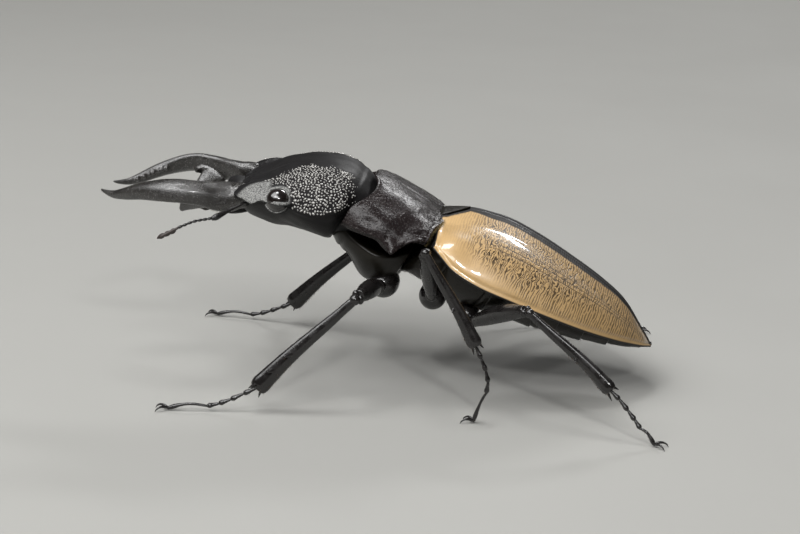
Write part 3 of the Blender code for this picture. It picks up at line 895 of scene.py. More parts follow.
class GrowTree(Tree):
    """A Geometry Nodes tree with named inputs, one host mesh in and one plain mesh out."""

    kinds = {float: "NodeSocketFloat", int: "NodeSocketInt"}

    def __init__(self, name: str, **inputs: float | int) -> None:
        """Start a tree with a host, its named numbers and a finish as inputs."""
        super().__init__(bpy.data.node_groups.new(name, "GeometryNodeTree"))
        sockets = self.tree.interface
        sockets.new_socket("Host", in_out="INPUT", socket_type="NodeSocketGeometry")
        for label, value in inputs.items():
            socket = sockets.new_socket(label, in_out="INPUT", socket_type=self.kinds[type(value)])
            socket.default_value = value
        sockets.new_socket("Finish", in_out="INPUT", socket_type="NodeSocketMaterial")
        sockets.new_socket("Made", in_out="OUTPUT", socket_type="NodeSocketGeometry")
        self.given = self.add("NodeGroupInput").outputs

    def named(self, name: str, kind: str = "FLOAT") -> Wire:
        """A mark of the host."""
        node = self.add("GeometryNodeInputNamedAttribute", {"data_type": kind}, Name=name)
        return Wire(self, node.outputs[0])

    def store(self, made: object, name: str, value: object, kind: str = "FLOAT_VECTOR",
              domain: str = "POINT") -> Node:
        """Store a mark on what has been made so far."""
        return self.add("GeometryNodeStoreNamedAttribute", {"data_type": kind, "domain": domain},
                        Geometry=made, Name=name, Value=value)

    def dice(self, low: object, high: object, seed: int, kind: str = "FLOAT") -> Wire:
        """A number or vector drawn for each copy between low and high."""
        node = self.add("FunctionNodeRandomValue", {"data_type": kind}, Min=low, Max=high, Seed=seed)
        return Wire(self, next(s for s in node.outputs if s.enabled))

    def copies(self, points: object, instance: object, turn: object, scale: object) -> Node:
        """Set a turned and scaled copy on each point."""
        return self.add("GeometryNodeInstanceOnPoints", Points=points, Instance=instance,
                        Rotation=turn, Scale=scale)

    def end(self, made: object) -> NodeTree:
        """Finish the tree: real faces, smooth, with their material."""
        real = self.add("GeometryNodeRealizeInstances", Geometry=made)
        smooth = self.add("GeometryNodeSetShadeSmooth", Geometry=real)
        dressed = self.add("GeometryNodeSetMaterial", Geometry=smooth, Material=self.given["Finish"])
        self.add("NodeGroupOutput", i0=dressed)
        return self.tree


@dataclass(frozen=True)
class Growth:
    """Something that Geometry Nodes grow on a host's mesh."""

    def tree(self) -> NodeTree:
        """The tree; each growth builds its own."""
        raise NotImplementedError

    def grow(self, name: str, host: Piece, finish: Finish) -> Piece:
        """Grow a new piece on a host and make it a plain mesh."""
        made = linked(name, host.data)
        modifier = made.modifiers.new("grow", "NODES")
        modifier.node_group = self.tree()
        for item in modifier.node_group.interface.items_tree:
            if item.name == "Finish":
                modifier[item.identifier] = finish.material()
        return settle(made)


@dataclass(frozen=True)
class Grains(Growth):
    """Rounded grains over the part of a skin that its mark "grain" chooses."""

    spacing: float = 0.37  # the least distance between two grains
    radius: Pair = (0.11, 0.19)  # the smallest and the largest grain's radius
    least: Vector3 = (0.80, 0.70, 0.45)  # the least stretch along, across and up, for a radius of 1
    most: Vector3 = (1.90, 1.05, 0.75)  # the greatest stretch
    facets: tuple[int, int] = (7, 5)  # faces round a grain, and from its top to its bottom
    seed: int = 4  # the fixed seed

    def tree(self) -> NodeTree:
        """Spread points and set an oblong bead on each."""
        grow = GrowTree("grains", Spacing=self.spacing * MM, Smallest=self.radius[0] * MM,
                        Largest=self.radius[1] * MM, Seed=self.seed)
        given = grow.given
        share = grow.named("grain")
        spots = grow.add("GeometryNodeDistributePointsOnFaces", {"distribute_method": "POISSON"},
                         Mesh=given["Host"], Distance_Min=given["Spacing"], Density_Max=6e7,
                         Density_Factor=share, Seed=given["Seed"])
        kept = grow.store(spots.outputs["Points"], "share", share, "FLOAT")
        segments, rings = self.facets
        bead = grow.add("GeometryNodeMeshUVSphere", Segments=segments, Rings=rings, Radius=1.0)
        turn = grow.add("FunctionNodeRotateRotation", {"rotation_space": "LOCAL"},
                        Rotation=spots.outputs["Rotation"],
                        Rotate_By=grow.dice((0.0, 0.0, 0.0), (0.2, 0.2, 6.28), 2, "FLOAT_VECTOR"))
        size = grow.dice(given["Smallest"], given["Largest"], 3)
        size = size * grow.named("share").step(0.0, 0.9, 0.45, 1.0)
        stretch = grow.dice(self.least, self.most, 5, "FLOAT_VECTOR")
        return grow.end(grow.copies(kept, bead, turn, grow.scaled(stretch, size)))


@dataclass(frozen=True)
class Bristles(Growth):
    """Curved bristles that stand on a skin where its mark "bristle" says and lean its way.

    The skin's mark "lie" is the way that they lean. Each bristle is a small patch on the
    bake's map, at its root's place on the skin's own map, marks "skin_u" and "skin_v".
    """

    per_mm2: float  # bristles on each square millimetre
    length: Pair  # the shortest and the longest
    radius: float  # the root's radius
    lean: float  # 0 stands up and 1 lies flat
    seed: int  # the fixed seed
    stray: float = 0.25  # how far each one strays from the lie
    patch: float = 0.003  # a bristle's size on the bake's map

    def tree(self) -> NodeTree:
        """Spread roots, set a bent cone on each and map it."""
        grow = GrowTree("bristles", Density=1e6 * self.per_mm2, Shortest=self.length[0] * MM,
                        Longest=self.length[1] * MM, Radius=self.radius * MM, Lean=self.lean,
                        Stray=self.stray, Seed=self.seed)
        given = grow.given
        roots = grow.add("GeometryNodeDistributePointsOnFaces", {"distribute_method": "RANDOM"},
                         Mesh=given["Host"], Seed=given["Seed"],
                         Density=grow.named("bristle") * given["Density"])
        away, astray = grow.math("MULTIPLY", given["Stray"], -1.0), given["Stray"]
        stray = grow.dice(grow.joined(away, away, away), grow.joined(astray, astray, astray), 11,
                          "FLOAT_VECTOR")
        lie = grow.named("lie", "FLOAT_VECTOR")
        mix = grow.add("ShaderNodeMix", {"data_type": "VECTOR"}, i0=given["Lean"],
                       i4=roots.outputs["Normal"], i5=lie)
        up = grow.add("FunctionNodeAlignRotationToVector", {"axis": "Z"},
                      Vector=grow.vector("ADD", mix.outputs[1], stray))
        faced = grow.add("FunctionNodeAlignRotationToVector", {"axis": "X", "pivot_axis": "Z"},
                         Rotation=up, Vector=lie)
        skin_map = grow.joined(grow.named("skin_u"), grow.named("skin_v"))
        kept = grow.store(roots.outputs["Points"], "root_map", skin_map)
        length = grow.dice(given["Shortest"], given["Longest"], 12)
        size = grow.joined(given["Radius"], given["Radius"], length)
        real = grow.add("GeometryNodeRealizeInstances", None,
                        Geometry=grow.copies(kept, self.cone(grow), faced, size))
        on_patch = grow.scaled(grow.named("on_patch", "FLOAT_VECTOR"), self.patch)
        place = grow.vector("ADD", grow.named("root_map", "FLOAT_VECTOR"), on_patch)
        return grow.end(grow.store(real, "OFBake", place, "FLOAT2", "CORNER"))

    @staticmethod
    def cone(grow: GrowTree) -> Node:
        """One bent bristle of length 1, with its own place on the patch."""
        cone = grow.add("GeometryNodeMeshCone", {"fill_type": "NGON"}, Vertices=3, Side_Segments=4,
                        Radius_Top=0.12, Radius_Bottom=1.0, Depth=1.0)
        place = grow.add("GeometryNodeInputPosition")
        height = Wire(grow, grow.add("ShaderNodeSeparateXYZ", i0=place).outputs[2])
        bent = grow.add("GeometryNodeSetPosition", Geometry=cone,
                        Offset=grow.joined(height * height * 7.0))
        return grow.store(bent, "on_patch", grow.vector("MULTIPLY", place, (0.1, 0.1, 1.0)))


def mark_for_bristles(host: Piece, amount: Array, lie: Array) -> None:
    """Give a host the marks that bristles read.

    Args:
        host: the piece that they stand on.
        amount: for each vertex, the share of the full density.
        lie: for each vertex or for all, the way that they lean.
    """
    mesh = host.data
    points = vertices(host)
    low, high = points.min(0), points.max(0)
    reach = np.maximum(high - low, 1e-6)
    share = (points - low) / reach
    underside = np.where(vertex_normals(host)[:, 0] > 0, 0.0, 0.5)
    mark(mesh, "bristle", amount)
    mark(mesh, "skin_u", underside + share[:, 1] * 0.49)
    mark(mesh, "skin_v", share[:, 2] * 0.98)
    attribute = mesh.attributes.new("lie", "FLOAT_VECTOR", "POINT")
    lies = np.broadcast_to(np.asarray(lie, np.float32), (len(points), 3))
    attribute.data.foreach_set("vector", np.ascontiguousarray(lies).ravel())


@dataclass(frozen=True)
class Beads(Growth):
    """Beads strung along a line, each wider at its far end."""

    count: int = 7  # how many beads
    radius: float = 0.21  # a bead's radius
    length: float = 0.44  # a bead's half length
    flare: float = 0.28  # how much wider its far end is

    def tree(self) -> NodeTree:
        """String the beads on the host's edges."""
        grow = GrowTree("beads", Count=self.count, Radius=self.radius * MM, Length=self.length * MM,
                        Flare=self.flare)
        given = grow.given
        line = grow.add("GeometryNodeMeshToCurve", Mesh=given["Host"])
        evenly = grow.add("GeometryNodeResampleCurve", Curve=line, Count=given["Count"])
        turn = grow.add("FunctionNodeAlignRotationToVector", {"axis": "Z"},
                        Vector=grow.add("GeometryNodeInputTangent"))
        ball = grow.add("GeometryNodeMeshUVSphere", Segments=16, Rings=10, Radius=1.0)
        parts = grow.add("ShaderNodeSeparateXYZ", i0=grow.add("GeometryNodeInputPosition"))
        x, y, z = (Wire(grow, socket) for socket in parts.outputs)
        swell = z * given["Flare"]
        bead = grow.add("GeometryNodeSetPosition", Geometry=ball,
                        Offset=grow.joined(x * swell, y * swell))
        size = grow.joined(given["Radius"], given["Radius"], given["Length"])
        return grow.end(grow.copies(evenly, bead, turn, size))

    def string(self, name: str, path: Array, finish: Finish) -> Piece:
        """String the beads along a path in millimetres of the drawing."""
        edges = [(i, i + 1) for i in range(len(path) - 1)]
        line = bpy.data.objects.new(name + "_line", plain_mesh(name + "_line", path, edges))
        made = self.grow(name, line, finish)
        bpy.data.objects.remove(line)
        return made


# ---- wing cases


@dataclass
class WingCases:
    """The two wing cases and the shield between their front corners."""

    outline: Stations = (  # run, half width, crown rise and margin rise
        (-0.5, 10.6, 1.95, 0.1), (1.0, 11.7, 2.8, -0.3), (4.0, 12.6, 4.5, -1.1),
        (8.0, 13.1, 5.65, -1.3), (13.0, 13.0, 5.72, -0.95), (19.0, 12.1, 5.15, -0.6),
        (24.5, 10.4, 4.3, -0.35), (29.5, 7.8, 2.95, -0.1), (33.0, 4.7, 1.4, -0.05),
        (35.2, 1.7, 0.3, -0.2),
    )
    roof: Pair = (1.0, 4.6)  # how much the two cases rise to the seam, and over what width
    shell: float = 1.0  # the shell's thickness
    shoulder: float = 1.0  # how far the shoulders draw back
    shield: Pair = (1.9, 3.0)  # the scutellum's half width and length
    rows: int = 190  # points along a wing case
    columns: tuple[int, int] = (100, 28)  # points over its outer face, and over its inner face
    edge: float = 0.32  # the radius of its edges
    bead: Pair = (0.30, 0.13)  # the side margin's bead: half width and height
    tip: Pair = (33.6, 35.5)  # where the last rounding starts and where it ends
    square: Pair = (2.2, 2.1)  # the section's exponents, sideways and upwards

    def seam_opening(self, run: Array) -> Array:
        """How far a wing case draws back from the midline beside the shield."""
        half_width, length = self.shield
        share = np.clip(1.0 - (run + 0.5) / (length + 0.4), 0.0, 1.0)
        return half_width * share**0.8

    def roofing(self, x: Array, run: Array) -> Array:
        """How far the roof stands up at a distance from the midline, at each run."""
        height, reach = self.roof
        along = (1.8 - 0.72 * step(run, 0.5, 7.0)) * step(-run, -35.0, -27.0)
        return height * np.clip(1 - np.abs(x) / reach, 0, 1) ** 1.35 * along

    def case(self, side: float) -> Shape:
        """One wing case with its relief and the marks that its finish reads."""
        start, (rounded, end) = self.outline[0][0], self.tip
        share = np.linspace(0.0, 1.0, self.rows)
        run = start + (end - start) * (share + 0.06 * np.sin(math.pi * share) * (2 * share - 1))
        half_width, crown, margin = read(self.outline, run).T
        past = ((run - rounded) / (end - rounded)).clip(0)
        closing = np.sqrt(np.clip(1.0 - past**2.2, 0.0, 1))
        half_width = half_width * (0.35 + 0.65 * closing)
        crown = margin + (crown - margin) * (0.55 + 0.45 * closing)
        inner = 0.10 + self.seam_opening(run)
        outer_angle = 0.5 * math.pi * np.linspace(0, 1, self.columns[0]) ** 0.9
        inner_angle = 0.5 * math.pi * np.linspace(1, 0, self.columns[1])
        thick = np.minimum(np.minimum(self.shell, 0.4 * half_width), 0.6 * (crown - margin))
        outer = self.arch(side, run, half_width, crown, margin, inner, outer_angle)
        under = self.arch(side, run, half_width - thick, crown - thick, margin, inner, inner_angle)
        seam = across_net(outer)
        base = np.broadcast_to((run - start)[:, None], seam.shape)
        back = np.broadcast_to((end - run)[:, None], seam.shape)
        rim = np.minimum(seam[:, -1:] - seam, back * 1.6 + 0.1)
        outer = outer + net_normals(outer, False) * self.relief(seam, rim, base, back)[..., None]
        flat = np.zeros(under.shape[:2])
        marks = {
            "seam_mm": np.concatenate((seam, flat), axis=1),
            "rim_mm": np.concatenate((rim, flat), axis=1),
            "base_mm": np.concatenate((base, flat + base[:, :1]), axis=1),
        }
        return Shape().add(np.concatenate((outer, under), axis=1), End.STRIP, marks)

    def arch(self, side: float, run: Array, half_width: Array, crown: Array,
             margin: Array, inner: Array, angle: Array) -> Array:
        """Half sections from the seam to the margin, one for each run."""
        run, half_width, crown, margin, inner = (
            v[:, None] for v in (run, half_width, crown, margin, inner)
        )
        sideways, upwards = self.square
        x = inner + (half_width - inner) * np.sin(angle) ** (2 / sideways)
        rise = margin + (crown - margin) * np.cos(angle).clip(0) ** (2 / upwards) + self.roofing(x, run)
        rounding = self.shoulder * np.clip(1.0 - (run - self.outline[0][0]) / 4.0, 0.0, 1.0)
        return REAR.place(x * side, run + rounding * (x / half_width.max()) ** 4, rise)

    def relief(self, seam: Array, rim: Array, base: Array, back: Array) -> Array:
        """Beads and furrows along the edges, a swollen shoulder and a hollow behind it."""
        nearest = np.minimum(np.minimum(seam * 1.5, rim), np.minimum(base, back * 1.5))
        inside = (self.edge - nearest).clip(0)
        height = np.sqrt((self.edge**2 - inside**2).clip(0)) - self.edge
        width, rise = self.bead
        beaded = rise * bump(rim - width, 1.1 * width)
        height = height + beaded - 0.09 * bump(rim - 2.9 * width, 1.3 * width)
        height = height + 0.06 * bump(base - 0.35, 0.4) - 0.07 * bump(base - 0.95, 0.45)
        height = height + 0.07 * bump(seam - 0.30, 0.32) - 0.05 * bump(seam - 0.85, 0.45)
        shoulder = bump(np.hypot(base - 3.4, (rim - 4.0) * 0.8), 3.2)
        furrow = bump(rim - 2.6, 2.0) * step(base, 1.5, 5.0) * (1 - step(base, 22, 31))
        hollow = bump(np.hypot(base - 4.9, rim - 3.8), 2.4)
        return height + 0.32 * shoulder - 0.10 * furrow - 0.10 * hollow

    def scutellum(self) -> Shape:
        """The small black shield, gently domed."""
        run = np.linspace(-0.75, 2.75, 34)
        half_width = np.maximum(self.seam_opening(run) - 0.16, 0.05)
        crown = read(self.outline, run)[:, 1]
        angle = np.linspace(0, math.pi, 25)
        across = np.concatenate((np.cos(angle), (-0.85, 0.0, 0.85)))
        dome = np.concatenate((0.14 * np.sin(angle) ** 0.8 - 0.13, np.full(3, -0.75)))
        x, run = across * half_width[:, None], run[:, None]
        return Shape().add(REAR.place(x, run, dome + crown[:, None] + self.roofing(x, run)))

    def build(self) -> None:
        """Make and dress the wing cases and the shield."""
        for label, side in SIDES.items():
            piece = self.case(side).piece(f"wing_case_shell_{label}")
            finished(piece, Look.wing_case, Slot.WING_CASE, f"wing_case_{label}")
        finished(self.scutellum().piece("shield_plate"), Look.belly, Slot.SHELL, "scutellum")


# ---- thorax and abdomen


@dataclass
class Pronotum:
    """The front thorax's back plate: rims, forward corners, side spikes and dents."""

    outline: Stations = (  # run, half width, crown rise and margin rise
        (0.0, 10.2, -0.40, -6.65), (1.2, 11.2, -0.20, -6.4), (2.6, 11.7, 0.0, -5.95),
        (4.4, 11.9, 0.05, -5.6), (5.8, 12.0, 0.02, -6.0), (7.0, 12.1, 0.0, -6.1),
        (7.9, 11.8, -0.05, -4.8), (8.8, 11.4, -0.20, -3.45), (10.7, 10.8, -0.45, -2.75),
    )
    rows: int = 130  # points along the plate
    columns: tuple[int, int] = (230, 60)  # points over its back, and over its underside
    front_edge: Stations = (  # how far the front edge draws back, by distance from the midline
        (0.0, -0.05), (1.6, 0.05), (3.2, 0.6), (4.8, 0.85), (6.2, 0.75), (7.6, 0.35),
        (8.9, -0.45), (9.8, -1.05), (10.4, -1.0),
    )
    # how far the rear edge reaches back, by distance from the midline
    rear_edge: Stations = ((0.0, 1.25), (3.0, 1.15), (5.5, 0.7), (8.0, 0.1), (9.5, 0.0))
    spike: Vector3 = (7.0, 1.5, 0.8)  # the side spikes' run, length and half width along the body
    rim: Pair = (0.15, 0.06)  # the rims' half width and height
    edge: float = 0.2  # the edges' radius
    square: Pair = (2.3, 2.1)  # the section's exponents, sideways and upwards
    mm_per_degree: float = 0.16  # how far a degree of the section reaches over the back
    dents: Stations = (  # hollows as run, angle up from the margin, radius in millimetres and depth
        (3.9, 46.0, 3.5, 0.45), (7.4, 36.0, 2.6, 0.34), (5.4, 9.5, 0.50, 0.28), (9.3, 24.0, 1.5, 0.50),
        (9.7, 62.0, 1.0, 0.16), (2.6, 16.0, 1.6, 0.20),
    )
    swells: Stations = (  # swellings in the same terms
        (6.7, 7.0, 1.9, 0.50), (9.2, 4.0, 1.5, 0.55), (0.8, 72.0, 1.5, 0.14), (6.2, 66.0, 2.6, 0.16),
    )
    # rings inside the front opening, as size and depth
    front_lip: Stations = ((0.55, 1.3), (0.80, 1.3), (0.90, 1.0), (0.955, 0.35), (0.985, 0.06))
    # the same for the rear opening
    rear_lip: Stations = ((0.985, 0.04), (0.95, 0.20), (0.91, 0.6), (0.6, 0.6))

    def plate(self) -> Shape:
        """The plate as one closed skin."""
        run = np.linspace(self.outline[0][0], self.outline[-1][0], self.rows)
        half_width, crown, margin = (v[:, None] for v in read(self.outline, run).T)
        angle = np.linspace(0, math.pi, self.columns[0])
        sideways, upwards = self.square
        u = power(np.cos(angle), 2 / sideways)
        rise = margin + (crown - margin) * np.sin(angle).clip(0) ** (2 / upwards)
        place, length, reach = self.spike
        tooth = length * np.clip(1 - np.abs(run - place) / reach, 0, 1)[:, None] ** 1.15
        side_angle = np.degrees(np.minimum(angle, math.pi - angle))
        x = half_width * u + np.sign(u) * tooth * bump(side_angle, 9.0)
        front = np.clip(1.0 - run / 3.4, 0.0, 1.0)[:, None] ** 1.3
        rear = step(run, 6.8, run[-1])[:, None]
        shift = front * self.edge_shift(self.front_edge, half_width * u)
        shift = shift + rear * self.edge_shift(self.rear_edge, half_width * u)
        back = THORAX.place(x, run[:, None] + shift, rise)
        back = back + net_normals(back, False) * self.relief(back, run, side_angle)[..., None]
        low_u = np.linspace(-0.97, 0.97, self.columns[1])
        low_shift = front * self.edge_shift(self.front_edge, half_width * low_u)
        low_rise = margin - 0.28 - 1.5 * (1 - np.abs(low_u) ** 2.2)
        low = THORAX.place(half_width * low_u, run[:, None] + low_shift, low_rise)
        net = np.concatenate((back, low), axis=1)
        lips = (self.lip(net[0], self.front_lip, 1.0), net, self.lip(net[-1], self.rear_lip, -1.0))
        return Shape().add(np.concatenate(lips))

    @staticmethod
    def edge_shift(edge: Stations, x: Array) -> Array:
        """How far an edge lies back at each distance from the midline."""
        return read(edge, np.abs(x).ravel())[:, 0].reshape(x.shape)

    @staticmethod
    def lip(ring: Array, rings: Stations, inward: float) -> Array:
        """Rings that turn an opening's edge in, so that it has a rim."""
        middle = ring.mean(0)
        way = THORAX.way() * inward
        return np.array([middle + (ring - middle) * size + way * deep for size, deep in rings])

    def relief(self, back: Array, run: Array, side_angle: Array) -> Array:
        """Heights over the back: rims, furrows inside them, dents, swells and a midline."""
        width, rise = self.rim
        over = across_net(back)
        side = np.minimum(over, over[:, -1:] - over)
        height = np.zeros(back.shape[:2])
        ends = ((run - run[0])[:, None], (run[-1] - run)[:, None])
        for distance, share in ((side, 0.3), *((end, 1.0) for end in ends)):
            distance = np.broadcast_to(distance, height.shape)
            height = height + share * rise * bump(distance - width, 1.2 * width)
            height = height - 0.6 * share * rise * bump(distance - 3.1 * width, 1.6 * width)
            inside = (self.edge - distance).clip(0)
            height = height + np.sqrt(self.edge**2 - inside**2) - self.edge
        for forms, sign in ((self.dents, -1.0), (self.swells, 1.0)):
            for place, angle, radius, amount in forms:
                sideways = (side_angle[None] - angle) * self.mm_per_degree
                away = np.hypot(run[:, None] - place, sideways)
                height = height + sign * amount * bump(away, radius)
        midline = bump(over - 0.5 * over[:, -1:], 0.7) * bump(run[:, None] - 5.5, 4.2)
        uneven = Waves(3.4, 5).at(back) * 0.035 + Waves(1.3, 6).at(back) * 0.008
        return height - 0.10 * midline + uneven * step(side, 0.5, 2.0)

    def build(self) -> None:
        """Make and dress the back plate."""
        finished(self.plate().piece("pronotum_plate"), Look.pronotum, Slot.SHELL, "pronotum")


@dataclass
class Underside:
    """The body below: front thorax, middle and hind thorax, and the ringed abdomen."""

    front: Stations = (  # run, half width, top rise and bottom rise of the front thorax
        (-0.7, 7.2, -7.4, -11.1), (0.6, 7.9, -7.5, -11.9), (2.5, 8.7, -7.8, -12.2),
        (5.5, 9.3, -7.8, -14.0), (8.0, 9.0, -6.8, -14.0), (9.5, 8.2, -5.7, -12.6),
    )
    # run, half width, middle rise, height and depth where the hind thorax starts
    # how far below its top the front thorax is widest, and how far it arches above that
    lid: Pair = (0.9, 1.4)
    hind_front: Stations = (
        (-1.7, 6.6, -4.2, 1.5, 2.9), (-0.8, 8.2, -2.6, 2.1, 4.2), (0.4, 9.2, -0.9, 2.6, 6.0),
    )
    # where the hind thorax's other sections are, the last one at its end
    hind_runs: tuple[float, ...] = (2.0, 4.5, 7.5, 10.6)
    belly: Stations = (  # run and depth below the wing cases' margin
        (-2.0, 6.2), (4.0, 6.5), (10.0, 5.7), (20.0, 4.4), (28.0, 2.7), (34.5, 0.9),
    )
    clearance: float = 1.45  # how far the body keeps inside the wing cases
    # runs of the furrows between the belly's rings
    joins: tuple[float, ...] = (14.6, 18.4, 22.0, 25.6, 29.2)
    end_run: float = 33.8  # where the abdomen ends
    # the hair of the hind thorax
    down: Bristles = Bristles(per_mm2=5.0, length=(0.45, 0.9), radius=0.018, lean=0.72, seed=21)

    def section(self, run: float, cases: WingCases) -> tuple[float, ...]:
        """Half width, middle, height and depth of the body under the wing cases."""
        half_width, crown, margin = read(cases.outline, run)[0]
        inset = min(self.clearance, 0.4 * half_width + 0.45)
        height = max(crown - inset - margin, 0.15)
        return max(half_width - inset, 0.4), margin, height, read(self.belly, run)[0][0]

    def front_thorax(self) -> Shape:
        """The front thorax's underside with a keel between the legs."""
        rings = []
        for run, half_width, top, bottom in spread(self.front, 46):
            middle = top - self.lid[0]
            rings.append(THORAX.oval(run, half_width, middle, self.lid[1], middle - bottom, 120, keel=2.1))
        net = np.array(rings)
        down = -net_normals(net, True)[..., 2].clip(-1, 0)
        run_share = np.linspace(0, 1, len(net))[:, None]
        keel = 0.7 * bump(net[..., 0], 1.5) * step(run_share, 0.25, 0.6)
        furrow = -0.25 * bump(run_share - 0.22, 0.06)
        net = net + net_normals(net, True) * ((keel + furrow) * down)[..., None]
        return Shape().add(dome_ends(net, 0.8, 0.8))

    def hind_thorax(self, cases: WingCases) -> Shape:
        """The middle and hind thorax, with a midline and cross furrows."""
        stations = [*self.hind_front, *((run, *self.section(run, cases)) for run in self.hind_runs)]
        runs = np.linspace(stations[0][0], stations[-1][0], 90)
        keels = 2.3 - 0.5 * step(runs, 0.4, 2.0)
        net = np.array([
            REAR.oval(run, *read(stations, run)[0], 150, keel=keel) for run, keel in zip(runs, keels)
        ])
        normals = net_normals(net, True)
        down = step(-normals[..., 2], -0.2, 0.3)
        run = runs[:, None]
        x = np.abs(net[..., 0])
        height = -0.22 * bump(x, 0.35) * step(run, 2.8, 4.0)
        bent = run - 0.10 * x
        height = height - 0.25 * bump(bent - 1.9, 0.28) - 0.22 * bump(bent - 8.4, 0.28)
        height = height + 0.45 * bump(np.hypot(x - 2.2, bent - 5.4), 3.0)
        return Shape().add(dome_ends(net + normals * (height * down)[..., None], 0.8, 0.3))

    def abdomen(self, cases: WingCases) -> Shape:
        """Overlapping rings that narrow to the tip."""
        start_run = self.hind_runs[-1]
        runs = np.linspace(start_run - 0.2, self.end_run, 190)
        net = np.array([REAR.oval(run, *self.section(run, cases), 130, keel=1.8) for run in runs])
        normals = net_normals(net, True)
        down = step(-normals[..., 2], -0.45, 0.1)
        bent = runs[:, None] + 0.035 * net[..., 0] ** 2 / 3.0
        height = np.zeros(net.shape[:2])
        starts = (start_run - 2.0, *self.joins)
        for start, end in zip(starts, (*self.joins, self.end_run + 2.0)):
            share = (bent - start) / (end - start)
            lift = 0.22 * share.clip(0, 1) ** 1.4 - 0.12 * bump(share, 0.10)
            height = np.where((share >= 0) & (share < 1), lift * (1 - step(share, 0.955, 1.0)), height)
        fade = 1 - step(runs, self.end_run - 2.5, self.end_run)[:, None]
        uneven = Waves(2.6, 15).at(net) * 0.03
        net = net + normals * ((height + uneven) * down * fade)[..., None]
        return Shape().add(dome_ends(net, 0.2, 0.5))

    def build(self, cases: WingCases) -> None:
        """Make and dress the underside."""
        made = {}
        for name, shape, node in (
            ("front_thorax_underside", self.front_thorax(), "prosternum"),
            ("hind_thorax_shell", self.hind_thorax(cases), "hind_thorax"),
            ("abdomen_rings", self.abdomen(cases), "abdomen"),
        ):
            made[node] = finished(shape.piece(name), Look.belly, Slot.SHELL, node)
        hind = made["hind_thorax"]
        points, normals = vertices(hind), vertex_normals(hind)
        below = step(-normals[:, 2], 0.1, 0.6) * step(9.0 - np.abs(points[:, 0]), 0.0, 2.0)
        mark_for_bristles(hind, below, (0.0, 1.0, -0.1))
        finished(self.down.grow("breast_down", hind, Look.bristle), Look.bristle, Slot.SHELL)


# ---- head


